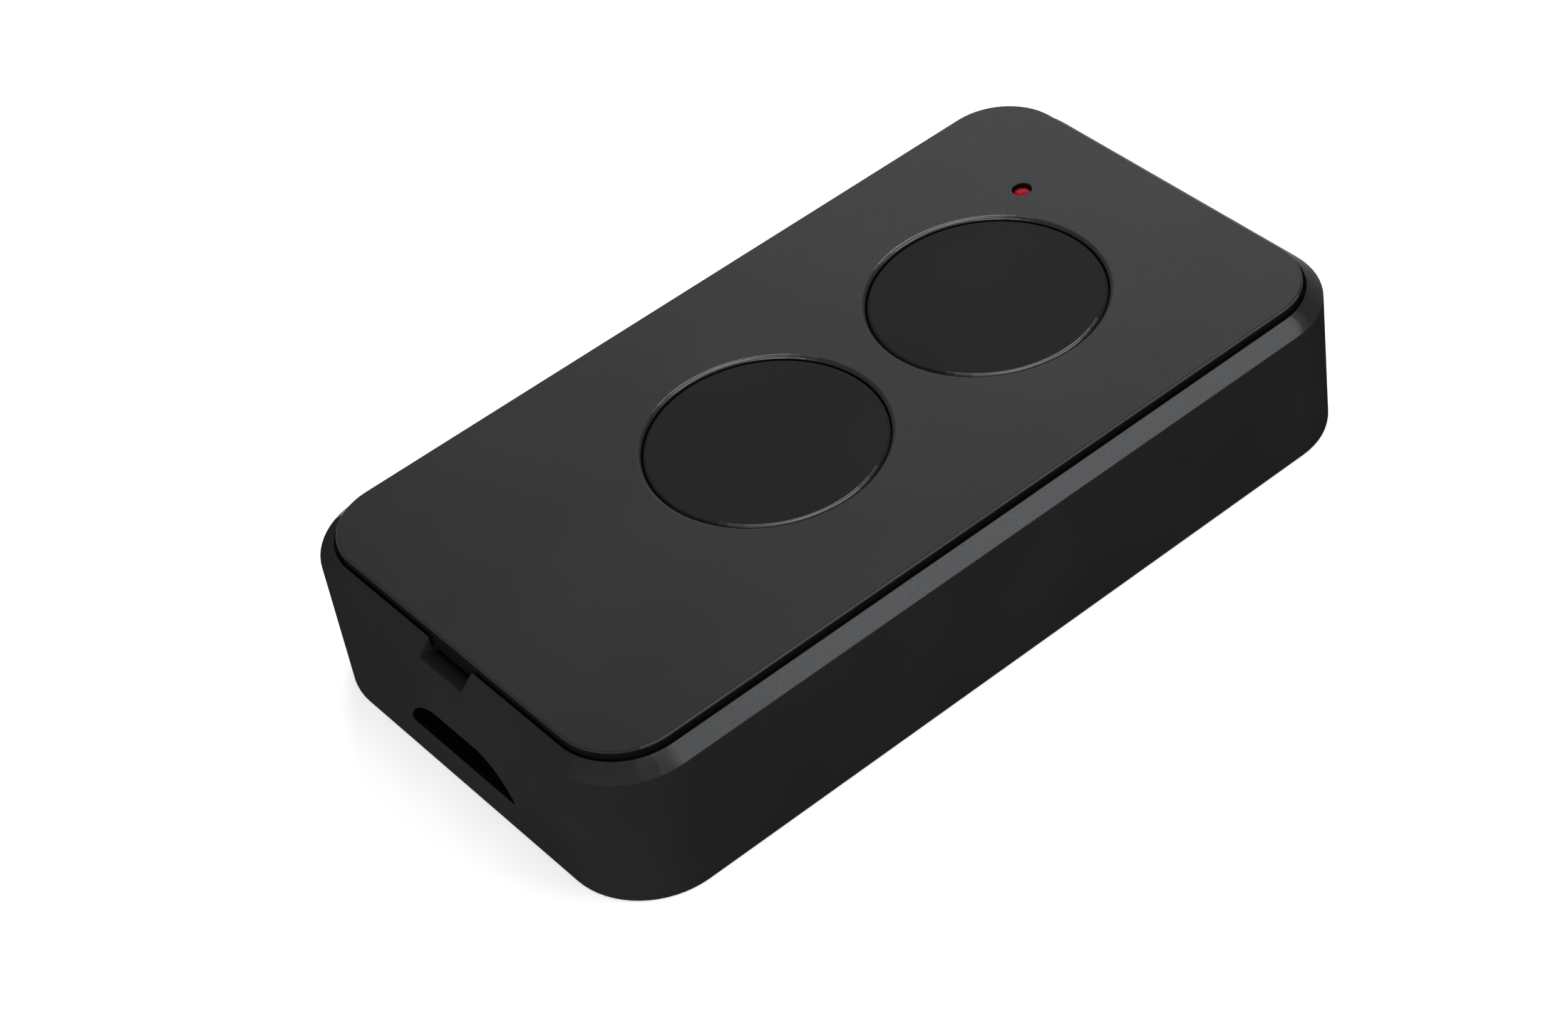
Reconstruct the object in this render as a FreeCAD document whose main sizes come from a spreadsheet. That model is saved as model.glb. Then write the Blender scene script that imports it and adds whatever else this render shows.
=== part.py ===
import FreeCAD, Part
import math
import os
import re
import Sketcher

# Two-button gate remote control.
# Frame: millimetres, origin at the middle of the underside, +Z up through the buttons,
# +Y towards the short end with the lamp, -Y towards the short end with the key-ring eye.
os.makedirs("parts", exist_ok=True)
doc = FreeCAD.newDocument("GateRemote")

# Driving sizes
SIZES = [
    ("overall_width", 33.0, "across the long walls"),
    ("overall_length", 61.0, "from short wall to short wall"),
    ("overall_height", 11.5, "underside to the top of the cover"),
    ("corner_radius", 5.65, "outer corner of the shell seen from above"),
    ("bottom_bevel", 0.1, "bevel along the underside's edge"),
    ("rim_wall", 1.05, "shell wall beside the cover"),
    ("rim_chamfer_run", 1.0, "bevel of the rim, measured across"),
    ("rim_chamfer_drop", 0.9, "bevel of the rim, measured down"),
    ("wall_thickness", 1.6, "shell wall below the ledge"),
    ("floor_thickness", 1.3, "shell floor"),
    ("cover_thickness", 1.5, "plate of the cover"),
    ("cover_proud", 0.55, "cover's top above the rim"),
    ("cover_gap", 0.2, "gap between cover and rim"),
    ("cover_seat_gap", 0.05, "cover's underside above the ledge"),
    ("cover_bevel", 0.1, "bevel along the cover's top edge"),
    ("skirt_gap", 0.15, "cover's skirt to the shell wall"),
    ("skirt_thickness", 0.9, "cover's skirt"),
    ("skirt_depth", 1.8, "skirt below the plate"),
    ("button_diameter", 15.5, "cap that shows in the cover"),
    ("button_hole_gap", 0.1, "cap to the edge of its hole"),
    ("button_hole_bevel", 0.15, "bevel along the hole's top edge"),
    ("button_recess", 0.12, "cap's top below the cover's top"),
    ("button_bevel", 0.15, "bevel along the cap's top edge"),
    ("button_crown", 1.1, "thickness of the cap's top"),
    ("button_wall", 1.2, "thickness of the cap's side"),
    ("button_flange_width", 0.7, "flange beyond the cap"),
    ("button_flange_thickness", 0.6, "flange that stops the cap under the cover"),
    ("button_rest_gap", 0.1, "flange below the plate at rest"),
    ("button_stem_diameter", 3.0, "stem over the switch"),
    ("button_stem_gap", 0.05, "stem above the plunger"),
    ("button_rib_width", 0.8, "rib under the cap"),
    ("button_rib_depth", 0.7, "rib below the crown"),
    ("button_inset", 16.85, "centre of the first button from the lamp end"),
    ("button_pitch", 18.5, "from the first button's centre to the second's"),
    ("collar_gap", 0.2, "flange to the collar round it"),
    ("collar_wall", 0.9, "collar under the cover"),
    ("collar_depth", 1.4, "collar below the plate"),
    ("key_width", 1.6, "key on the flange"),
    ("key_reach", 0.6, "key beyond the flange"),
    ("key_gap", 0.2, "key to the collar's slot, each side"),
    ("lamp_x", -6.3, "lamp hole off the middle"),
    ("lamp_offset", 1.1, "lamp hole beyond the first button's edge"),
    ("lamp_hole", 1.3, "diameter of the lamp hole"),
    ("guide_gap", 0.08, "light guide to the lamp hole"),
    ("guide_seat_gap", 0.05, "light guide's flange below the plate"),
    ("guide_recess", 0.2, "light guide below the cover's top"),
    ("guide_flange", 2.6, "diameter of the light guide's flange"),
    ("guide_flange_thickness", 0.55, "light guide's flange"),
    ("guide_foot", 1.8, "diameter of the light guide's foot"),
    ("guide_led_gap", 0.3, "light guide above the lamp chip"),
    ("boss_gap", 0.1, "flange to the boss round it"),
    ("boss_wall", 0.7, "boss round the light guide"),
    ("boss_depth", 1.0, "boss below the plate"),
    ("hook_inset", 7.5, "snap hook's middle from the long wall"),
    ("hook_width", 4.0, "snap hook and tongue width"),
    ("hook_reach", 0.45, "snap hook beyond the skirt"),
    ("hook_drop", 0.8, "snap hook's catch below the plate"),
    ("hook_height", 1.0, "snap hook from catch to tip"),
    ("tongue_reach", 0.7, "tongue beyond the skirt"),
    ("tongue_thickness", 0.6, "tongue at the lamp end"),
    ("catch_gap", 0.2, "hook or tongue to the pocket it enters"),
    ("post_inset", 5.5, "pins and posts from the long walls"),
    ("rest_end_inset", 6.5, "board rests from the short ends"),
    ("rest_width", 2.4, "rib of the long wall that the board rests on"),
    ("pin_diameter", 1.2, "locating pin on two of the rests"),
    ("pin_proud", 0.4, "pin above the board"),
    ("pin_gap", 0.15, "pin to its hole"),
    ("press_post_width", 2.0, "post of the cover that holds the board down"),
    ("press_post_thickness", 1.2, "the same post across"),
    ("press_post_inset", 11.5, "cover posts from the short ends"),
    ("press_post_gap", 0.1, "cover post above the board"),
    ("board_thickness", 1.0, "circuit board"),
    ("board_gap", 0.4, "board to the walls"),
    ("clip_floor_gap", 0.4, "battery clip above the floor"),
    ("clip_thickness", 0.3, "battery clip's sheet"),
    ("clip_width", 8.0, "battery clip along the body"),
    ("clip_side_gap", 0.3, "cell to the clip's leg"),
    ("clip_foot", 1.3, "clip's foot soldered to the board"),
    ("cell_diameter", 20.0, "coin cell"),
    ("cell_thickness", 3.2, "coin cell"),
    ("cell_cap", 17.6, "diameter of the cell's negative cap"),
    ("cell_cap_step", 0.3, "cell's cap above its can"),
    ("contact_height", 0.4, "board above the cell"),
    ("contact_thickness", 0.2, "negative contact's sheet"),
    ("contact_width", 3.0, "negative contact's leaf"),
    ("contact_length", 9.0, "negative contact from foot to foot"),
    ("nest_duct_gap", 0.4, "rib round the cell to the ring duct's wall"),
    ("nest_gap", 0.55, "cell to the rib round it"),
    ("nest_wall", 0.8, "rib round the cell"),
    ("nest_height", 1.6, "rib above the floor"),
    ("nest_opening", 10.0, "openings between the ribs"),
    ("ring_slot_width", 10.5, "key-ring slot across"),
    ("ring_slot_height", 2.55, "key-ring slot, floor to crown"),
    ("ring_slot_flat", 4.6, "flat of the slot's crown"),
    ("ring_slot_side", 0.4, "upright of the slot's side"),
    ("ring_slot_shoulder", 4.2, "radius of the slot's shoulder"),
    ("ring_bar_height", 2.5, "bar under the slot"),
    ("ring_bar_depth", 2.2, "bar from the wall's face inwards"),
    ("ring_bar_round", 0.8, "round on the bar's inner edge"),
    ("ring_duct_wall", 1.2, "wall round the ring's duct"),
    ("ring_duct_round", 2.2, "round on the duct wall's top"),
    ("notch_width", 4.4, "pry notch in the rim"),
    ("notch_fall", 0.75, "fall of the notch's floor through the wall"),
    ("switch_side", 6.0, "switch base, each side"),
    ("switch_base_height", 1.4, "switch base"),
    ("switch_corner", 0.5, "bevel on the switch base's corners"),
    ("switch_well", 4.6, "diameter of the well in the base"),
    ("switch_well_depth", 0.9, "depth of the well"),
    ("switch_cover_thickness", 0.2, "switch's metal cover"),
    ("switch_ear_width", 3.2, "ear folded down the base"),
    ("switch_ear_drop", 0.9, "ear below the metal cover"),
    ("plunger_diameter", 2.8, "switch plunger"),
    ("plunger_gap", 0.1, "plunger to the metal cover's hole"),
    ("plunger_proud", 0.32, "plunger above the metal cover"),
    ("plunger_flange", 3.7, "diameter of the plunger's flange"),
    ("plunger_flange_thickness", 0.35, "plunger's flange"),
    ("plunger_rest_gap", 0.05, "flange below the metal cover"),
    ("dome_gap", 0.05, "plunger above the dome"),
    ("dome_sheet", 0.08, "metal dome's sheet"),
    ("dome_crown", 0.8, "radius of the dome's flat crown"),
    ("dome_rim_gap", 0.1, "dome to the well's wall"),
    ("terminal_width", 0.8, "switch terminal"),
    ("terminal_thickness", 0.2, "switch terminal's sheet"),
    ("terminal_reach", 1.3, "terminal beyond the base"),
    ("terminal_knee", 0.4, "terminal's upright beyond the base"),
    ("terminal_rise", 0.6, "terminal where it leaves the base"),
    ("terminal_spacing", 4.5, "between two terminals of one side"),
    ("led_length", 2.0, "lamp chip"),
    ("led_width", 1.25, "lamp chip"),
    ("led_base_height", 0.4, "lamp chip's base"),
    ("led_lens_length", 1.2, "lamp chip's lens"),
    ("led_lens_height", 0.5, "lamp chip's lens"),
    ("encoder_inset", 6.15, "encoder chip's middle from the ring duct's wall"),
    ("encoder_length", 8.65, "encoder chip's body"),
    ("encoder_width", 3.9, "encoder chip's body"),
    ("encoder_height", 1.3, "encoder chip's body"),
    ("encoder_standoff", 0.12, "encoder chip above the board"),
    ("encoder_bevel", 0.3, "bevel along the chip's top"),
    ("lead_width", 0.42, "encoder lead"),
    ("lead_thickness", 0.2, "encoder lead"),
    ("lead_reach", 1.05, "encoder lead beyond the body"),
    ("lead_knee", 0.3, "encoder lead's upright beyond the body"),
    ("lead_rise", 0.6, "encoder lead where it leaves the body"),
    ("lead_pitch", 1.27, "encoder lead to lead"),
    ("lead_count", 7, "encoder leads on one side"),
    ("resonator_post_gap", 3.7, "resonator's middle from the posts' line"),
    ("resonator_inset", 6.3, "resonator's middle from the lamp end"),
    ("resonator_side", 3.8, "resonator's ceramic base"),
    ("resonator_height", 1.1, "resonator's ceramic base"),
    ("resonator_lid_inset", 0.35, "lid inside the base's edge"),
    ("resonator_lid_thickness", 0.25, "resonator's metal lid"),
    ("transistor_x", 0.6, "centre of the transistor"),
    ("transistor_inset", 5.9, "transistor's middle from the lamp end"),
    ("transistor_length", 2.9, "transistor's body"),
    ("transistor_width", 1.3, "transistor's body"),
    ("transistor_height", 0.95, "transistor's body"),
    ("transistor_pitch", 1.9, "between the transistor's two leads"),
    ("part_gap", 1.4, "usual gap between components"),
    ("chip_length", 1.0, "ceramic of a chip component"),
    ("chip_width", 0.8, "chip component"),
    ("chip_end", 0.3, "metal end of a chip component"),
    ("resistor_height", 0.45, "chip resistor"),
    ("capacitor_height", 0.8, "chip capacitor"),
    ("inductor_length", 1.4, "ferrite of a chip inductor"),
    ("inductor_width", 1.25, "chip inductor"),
    ("inductor_height", 1.1, "chip inductor"),
    ("track_inset", 0.6, "antenna track from the board's edge"),
    ("track_width", 1.1, "antenna track"),
    ("track_thickness", 0.07, "antenna track"),
    ("track_reach", 21.5, "antenna track's arms from the lamp end"),
]
sheet = doc.addObject("Spreadsheet::Sheet", "Sizes")
for row, (alias, number, note) in enumerate(SIZES, start=1):
    sheet.set(f"A{row}", note)
    sheet.set(f"B{row}", str(number))
    sheet.setAlias(f"B{row}", alias)
doc.recompute()
NAMES = {alias for alias, number, note in SIZES}

# Heights and places that follow from the driving sizes
HALF_WIDTH = "(overall_width / 2)"
HALF_LENGTH = "(overall_length / 2)"
BUTTON_1_Y = "(overall_length / 2 - button_inset)"
BUTTON_2_Y = "(overall_length / 2 - button_inset - button_pitch)"
LAMP_Y = f"({BUTTON_1_Y} + button_diameter / 2 + lamp_offset)"
POST_X = "(overall_width / 2 - post_inset)"
HOOK_X = "(overall_width / 2 - hook_inset)"
RIM_TOP = "(overall_height - cover_proud)"
COVER_UNDER = "(overall_height - cover_thickness)"
LEDGE = "(overall_height - cover_thickness - cover_seat_gap)"
CLIP_UNDER = "(floor_thickness + clip_floor_gap)"
CELL_UNDER = "(floor_thickness + clip_floor_gap + clip_thickness)"
CELL_TOP = f"({CELL_UNDER} + cell_thickness)"
BOARD_UNDER = f"({CELL_TOP} + contact_height)"
BOARD_TOP = f"({BOARD_UNDER} + board_thickness)"
BASE_TOP = f"({BOARD_TOP} + switch_base_height)"
SWITCH_TOP = f"({BASE_TOP} + switch_cover_thickness)"
PLUNGER_TOP = f"({SWITCH_TOP} + plunger_proud)"
STEM_END = f"({PLUNGER_TOP} + button_stem_gap)"
BUTTON_TOP = "(overall_height - button_recess)"
CROWN_UNDER = f"({BUTTON_TOP} - button_crown)"
FLANGE_TOP = f"({COVER_UNDER} - button_rest_gap)"
FLANGE_UNDER = f"({FLANGE_TOP} - button_flange_thickness)"
FLANGE_RADIUS = "(button_diameter / 2 + button_flange_width)"
COLLAR_INNER = f"({FLANGE_RADIUS} + collar_gap)"
COLLAR_OUTER = f"({COLLAR_INNER} + collar_wall)"
CAVITY_HALF_WIDTH = "(overall_width / 2 - wall_thickness)"
CAVITY_HALF_LENGTH = "(overall_length / 2 - wall_thickness)"
SKIRT_HALF_WIDTH = f"({CAVITY_HALF_WIDTH} - skirt_gap)"
SKIRT_HALF_LENGTH = f"({CAVITY_HALF_LENGTH} - skirt_gap)"
SKIRT_CORNER = "(corner_radius - wall_thickness - skirt_gap)"
TONGUE_TOP = f"({COVER_UNDER} - hook_drop)"
BOARD_HALF_WIDTH = f"({CAVITY_HALF_WIDTH} - board_gap)"
BOARD_HALF_LENGTH = f"({CAVITY_HALF_LENGTH} - board_gap)"
BOARD_CORNER = "(corner_radius - wall_thickness - board_gap)"
REST_Y = "(overall_length / 2 - rest_end_inset)"
PRESS_POST_Y = "(overall_length / 2 - press_post_inset)"
BAR_INNER_Y = "(overall_length / 2 - ring_bar_depth)"
DUCT_END_Y = f"({BAR_INNER_Y} - ring_slot_height - ring_duct_wall)"
DUCT_HALF_WIDTH = "(ring_slot_width / 2 + ring_duct_wall)"
DUCT_TOP = "(ring_bar_height + ring_slot_height + ring_duct_wall)"
NEST_REACH = "(cell_diameter / 2 + nest_gap + nest_wall)"
CELL_Y = f"(-({DUCT_END_Y} - nest_duct_gap - {NEST_REACH}))"
ENCODER_Y = f"(-({DUCT_END_Y} - encoder_inset))"
RESONATOR_X = f"({POST_X} - resonator_post_gap)"
RESONATOR_Y = "(overall_length / 2 - resonator_inset)"
TRANSISTOR_Y = "(overall_length / 2 - transistor_inset)"


def formula(text):
    """Returns the formula with the sheet's name in front of each size."""
    return re.sub(r"[a-z]\w*", lambda word: "Sizes." * (word.group(0) in NAMES) + word.group(0), text)


def bind(item, name, text):
    item.setExpression(name, formula(text))


def add_body(label):
    body = doc.addObject("PartDesign::Body", label)
    body.Label = label
    return body


def origin_feature(body, role):
    return next(feature for feature in body.Origin.OriginFeatures if feature.Role == role)


def sketch_on(body, name, role, height="0"):
    """Adds a sketch on one of the body's own origin planes, moved along the plane's normal."""
    sketch = body.newObject("Sketcher::SketchObject", name)
    sketch.AttachmentSupport = (origin_feature(body, role), [""])
    sketch.MapMode = "FlatFace"
    bind(sketch, ".AttachmentOffset.Base.z", height)
    return sketch


def dimension(sketch, constraint, name, text):
    number = sketch.addConstraint(constraint)
    sketch.renameConstraint(number, name)
    bind(sketch, "Constraints." + name, text)


def polygon(sketch, corners):
    """Draws a closed outline whose corners are pairs of formulas."""
    first = sketch.GeometryCount
    count = len(corners)
    turns = [2 * math.pi * step / count for step in range(count)]
    start = [FreeCAD.Vector(9 * math.cos(turn), 9 * math.sin(turn), 0) for turn in turns]
    sides = [Part.LineSegment(start[step], start[(step + 1) % count]) for step in range(count)]
    sketch.addGeometry(sides, False)
    for step in range(count):
        after = first + (step + 1) % count
        sketch.addConstraint(Sketcher.Constraint("Coincident", first + step, 2, after, 1))
    for step, (across, along) in enumerate(corners):
        side = first + step
        point = start[step]
        dimension(sketch, Sketcher.Constraint("DistanceX", -1, 1, side, 1, point.x), f"x{side}", across)
        dimension(sketch, Sketcher.Constraint("DistanceY", -1, 1, side, 1, point.y), f"y{side}", along)


def rectangle(sketch, low_x, high_x, low_y, high_y):
    polygon(sketch, [(low_x, low_y), (high_x, low_y), (high_x, high_y), (low_x, high_y)])


def circle(sketch, across, along, diameter):
    side = sketch.addGeometry(Part.Circle(FreeCAD.Vector(3, 4, 0), FreeCAD.Vector(0, 0, 1), 2), False)
    dimension(sketch, Sketcher.Constraint("DistanceX", -1, 1, side, 3, 3.0), f"x{side}", across)
    dimension(sketch, Sketcher.Constraint("DistanceY", -1, 1, side, 3, 4.0), f"y{side}", along)
    dimension(sketch, Sketcher.Constraint("Diameter", side, 4.0), f"diameter{side}", diameter)


def rounded_rectangle(sketch, width, length, radius):
    """Draws a centred rectangle with equal round corners."""
    first = sketch.GeometryCount
    half_x, half_y, bend = 10, 20, 3
    up = FreeCAD.Vector(0, 0, 1)

    def side(from_x, from_y, to_x, to_y):
        return Part.LineSegment(FreeCAD.Vector(from_x, from_y, 0), FreeCAD.Vector(to_x, to_y, 0))

    def corner(centre_x, centre_y, from_degrees):
        ring = Part.Circle(FreeCAD.Vector(centre_x, centre_y, 0), up, bend)
        return Part.ArcOfCircle(ring, math.radians(from_degrees), math.radians(from_degrees + 90))

    sketch.addGeometry([
        side(bend - half_x, -half_y, half_x - bend, -half_y),
        corner(half_x - bend, bend - half_y, -90),
        side(half_x, bend - half_y, half_x, half_y - bend),
        corner(half_x - bend, half_y - bend, 0),
        side(half_x - bend, half_y, bend - half_x, half_y),
        corner(bend - half_x, half_y - bend, 90),
        side(-half_x, half_y - bend, -half_x, bend - half_y),
        corner(bend - half_x, bend - half_y, 180),
    ], False)
    for step in range(8):
        sketch.addConstraint(Sketcher.Constraint("Tangent", first + step, 2, first + (step + 1) % 8, 1))
    for step in (0, 4):
        sketch.addConstraint(Sketcher.Constraint("Horizontal", first + step))
        sketch.addConstraint(Sketcher.Constraint("Vertical", first + step + 2))
    for step in (1, 3, 5):
        sketch.addConstraint(Sketcher.Constraint("Equal", first + step, first + step + 2))
    sketch.addConstraint(Sketcher.Constraint("Symmetric", first + 1, 3, first + 5, 3, -1, 1))
    across = Sketcher.Constraint("DistanceX", first + 6, 1, first + 2, 1, 2.0 * half_x)
    along = Sketcher.Constraint("DistanceY", first, 1, first + 4, 1, 2.0 * half_y)
    dimension(sketch, across, f"width{first}", width)
    dimension(sketch, along, f"length{first}", length)
    dimension(sketch, Sketcher.Constraint("Radius", first + 1, float(bend)), f"radius{first}", radius)


def slot_outline(sketch):
    """Draws the key-ring slot: flat base on the sketch's own axis, round shoulders, flat crown."""
    half = sheet.ring_slot_width / 2
    flat = sheet.ring_slot_flat / 2
    side = sheet.ring_slot_side
    crown = sheet.ring_slot_height
    corners = [(-half, 0), (half, 0), (half, side), (flat, crown), (-flat, crown), (-half, side)]
    texts = [
        ("-ring_slot_width / 2", "0"),
        ("ring_slot_width / 2", "0"),
        ("ring_slot_width / 2", "ring_slot_side"),
        ("ring_slot_flat / 2", "ring_slot_height"),
        ("-ring_slot_flat / 2", "ring_slot_height"),
        ("-ring_slot_width / 2", "ring_slot_side"),
    ]
    points = [FreeCAD.Vector(across, along, 0) for across, along in corners]

    def shoulder(start, end):
        chord = end - start
        middle = (start + end) / 2
        outward = FreeCAD.Vector(chord.y, -chord.x, 0).normalize()
        radius = sheet.ring_slot_shoulder
        rise = radius - math.sqrt(radius ** 2 - chord.Length ** 2 / 4)
        return Part.Arc(start, middle + outward * rise, end)

    sides = [
        Part.LineSegment(points[0], points[1]),
        Part.LineSegment(points[1], points[2]),
        shoulder(points[2], points[3]),
        Part.LineSegment(points[3], points[4]),
        shoulder(points[4], points[5]),
        Part.LineSegment(points[5], points[0]),
    ]
    sketch.addGeometry(sides, False)
    for step in range(6):
        sketch.addConstraint(Sketcher.Constraint("Coincident", step, 2, (step + 1) % 6, 1))
    for step, (across, along) in enumerate(texts):
        point = points[step]
        dimension(sketch, Sketcher.Constraint("DistanceX", -1, 1, step, 1, point.x), f"x{step}", across)
        dimension(sketch, Sketcher.Constraint("DistanceY", -1, 1, step, 1, point.y), f"y{step}", along)
    for step in (2, 4):
        bend = Sketcher.Constraint("Radius", step, sheet.ring_slot_shoulder)
        dimension(sketch, bend, f"bend{step}", "ring_slot_shoulder")


def add_feature(body, kind, sketch, length, flipped, cuts):
    """Adds a pad or pocket and makes sure that it adds or takes material."""
    before = body.Shape.Volume if body.Tip else 0.0
    feature = body.newObject("PartDesign::" + kind, kind)
    feature.Profile = sketch
    feature.Reversed = flipped
    bind(feature, "Length", length)
    doc.recompute()
    change = body.Shape.Volume - before
    if (cuts and change > -1e-4) or (not cuts and change < 1e-4):
        raise RuntimeError(f"{body.Label}: {feature.Name} from {sketch.Name} changes nothing")
    return feature


def pad(body, sketch, length, flipped=False):
    return add_feature(body, "Pad", sketch, length, flipped, False)


def pocket(body, sketch, depth, flipped=False):
    return add_feature(body, "Pocket", sketch, depth, flipped, True)


def revolve(body, sketch):
    """Turns a half section on the XZ plane round the body's own Z axis."""
    feature = body.newObject("PartDesign::Revolution", "Revolution")
    feature.Profile = sketch
    feature.ReferenceAxis = (sketch, ["V_Axis"])
    feature.Angle = 360
    doc.recompute()
    return feature


def round_edges(body, names, radius):
    before = body.Tip
    feature = body.newObject("PartDesign::Fillet", "Fillet")
    feature.Base = (before, names)
    bind(feature, "Radius", radius)
    doc.recompute()
    return feature


def bevel_edges(body, names, size):
    before = body.Tip
    feature = body.newObject("PartDesign::Chamfer", "Chamfer")
    feature.Base = (before, names)
    bind(feature, "Size", size)
    doc.recompute()
    return feature


def edges_at_height(body, height, test=lambda edge: True):
    """Names the edges that lie level at one height and pass the test."""
    names = []
    for number, edge in enumerate(body.Shape.Edges, start=1):
        box = edge.BoundBox
        level = abs(box.ZMin - height) < 1e-4 and abs(box.ZMax - height) < 1e-4
        if level and test(edge):
            names.append(f"Edge{number}")
    return names


def edge_near(body, across, along, height):
    """Names the edge whose middle lies nearest to a point."""
    target = FreeCAD.Vector(across, along, height)
    edges = body.Shape.Edges
    number = min(range(len(edges)), key=lambda step: edges[step].CenterOfMass.distanceToPoint(target))
    return f"Edge{number + 1}"


def upright_edges(body):
    """Names the straight edges that stand along Z."""
    names = []
    for number, edge in enumerate(body.Shape.Edges, start=1):
        box = edge.BoundBox
        if box.XLength < 1e-4 and box.YLength < 1e-4:
            names.append(f"Edge{number}")
    return names


def mirror_whole(body, role):
    """Mirrors all that the body holds so far in one of its origin planes."""
    feature = body.newObject("PartDesign::Mirrored", "Mirrored")
    feature.TransformMode = "Whole shape"
    feature.MirrorPlane = (origin_feature(body, role), [""])
    body.Tip = feature
    doc.recompute()
    return feature


def build_lower_shell():
    """Tub with a bevelled rim, ledge, pry notch, key-ring eye and seats for what it holds."""
    body = add_body("lower_shell")
    outline = sketch_on(body, "Outline", "XY_Plane")
    rounded_rectangle(outline, "overall_width", "overall_length", "corner_radius")
    pad(body, outline, RIM_TOP)

    block = body.Tip
    rim = body.newObject("PartDesign::Chamfer", "RimBevel")
    rim.Base = (block, edges_at_height(body, block.Shape.BoundBox.ZMax))
    rim.ChamferType = "Two distances"
    bind(rim, "Size", "rim_chamfer_drop")
    bind(rim, "Size2", "rim_chamfer_run")
    doc.recompute()
    bevel_edges(body, edges_at_height(body, 0), "bottom_bevel")

    opening = sketch_on(body, "Opening", "XY_Plane", RIM_TOP)
    rim_inside = ("overall_width - 2 * rim_wall", "overall_length - 2 * rim_wall", "corner_radius - rim_wall")
    rounded_rectangle(opening, *rim_inside)
    pocket(body, opening, f"{RIM_TOP} - {LEDGE}")
    cavity = sketch_on(body, "Cavity", "XY_Plane", RIM_TOP)
    cavity_corner = "corner_radius - wall_thickness"
    rounded_rectangle(cavity, f"2 * {CAVITY_HALF_WIDTH}", f"2 * {CAVITY_HALF_LENGTH}", cavity_corner)
    pocket(body, cavity, f"{RIM_TOP} - floor_thickness")

    # Ribs of the long walls that carry the board, with a locating pin on two of them
    rests = sketch_on(body, "Rests", "XY_Plane", "floor_thickness / 2")
    rest_inner = f"({POST_X} - rest_width / 2)"
    rest_outer = f"({HALF_WIDTH} - wall_thickness / 2)"
    for side, end in (("", ""), ("-", ""), ("", "-"), ("-", "-")):
        middle = end + REST_Y
        rectangle(
            rests,
            side + rest_inner,
            side + rest_outer,
            f"{middle} - rest_width / 2",
            f"{middle} + rest_width / 2",
        )
    pad(body, rests, f"{BOARD_UNDER} - floor_thickness / 2")
    pins = sketch_on(body, "Pins", "XY_Plane", f"{BOARD_UNDER} - pin_diameter")
    circle(pins, POST_X, REST_Y, "pin_diameter")
    circle(pins, "-" + POST_X, "-" + REST_Y, "pin_diameter")
    pad(body, pins, "pin_diameter + board_thickness + pin_proud")

    # Ribs that keep the coin cell in place
    nest = sketch_on(body, "Nest", "XY_Plane", "floor_thickness / 2")
    circle(nest, "0", CELL_Y, f"2 * {NEST_REACH} - 2 * nest_wall")
    circle(nest, "0", CELL_Y, f"2 * {NEST_REACH}")
    pad(body, nest, "floor_thickness / 2 + nest_height")
    reach = f"({NEST_REACH} + nest_duct_gap / 2)"
    gaps = sketch_on(body, "NestGaps", "XY_Plane", "floor_thickness + nest_height")
    half = "nest_opening / 2"
    rectangle(gaps, "-" + reach, "-" + half, f"{CELL_Y} - {half}", f"{CELL_Y} + {half}")
    rectangle(gaps, half, reach, f"{CELL_Y} - {half}", f"{CELL_Y} + {half}")
    rectangle(gaps, "-" + half, half, f"{CELL_Y} - {reach}", f"{CELL_Y} - {half}")
    rectangle(gaps, "-" + half, half, f"{CELL_Y} + {half}", f"{CELL_Y} + {reach}")
    pocket(body, gaps, "nest_height")

    # Wall round the key ring's duct, then the duct itself: in at the end wall, out at the underside
    block = sketch_on(body, "DuctWall", "YZ_Plane", "-" + DUCT_HALF_WIDTH)
    outer = f"-({HALF_LENGTH} - wall_thickness / 2)"
    rectangle(block, outer, "-" + DUCT_END_Y, "floor_thickness / 2", DUCT_TOP)
    pad(body, block, "2 * " + DUCT_HALF_WIDTH)
    duct_top = sheet.ring_bar_height + sheet.ring_slot_height + sheet.ring_duct_wall
    duct_end = sheet.ring_bar_depth + sheet.ring_slot_height + sheet.ring_duct_wall - sheet.overall_length / 2
    round_edges(body, [edge_near(body, 0, duct_end, duct_top)], "ring_duct_round")

    mouth = sketch_on(body, "SlotMouth", "XZ_Plane", BAR_INNER_Y)
    bind(mouth, ".AttachmentOffset.Base.y", "ring_bar_height")
    slot_outline(mouth)
    pocket(body, mouth, "2 * ring_bar_depth", flipped=True)
    before = body.Shape.Volume
    bend = body.newObject("PartDesign::Groove", "SlotBend")
    bend.Profile = mouth
    bend.ReferenceAxis = (mouth, ["H_Axis"])
    bend.Angle = 90
    bend.Reversed = True
    doc.recompute()
    if before - body.Shape.Volume < 1:
        raise RuntimeError("the key-ring duct's bend cuts nothing")
    drop = sketch_on(body, "SlotDrop", "XY_Plane", "ring_bar_height")
    bind(drop, ".AttachmentOffset.Base.y", "-" + BAR_INNER_Y)
    slot_outline(drop)
    pocket(body, drop, "2 * ring_bar_height")
    bar_edge = edge_near(body, 0, sheet.ring_bar_depth - sheet.overall_length / 2, sheet.ring_bar_height)
    round_edges(body, [bar_edge], "ring_bar_round")

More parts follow.
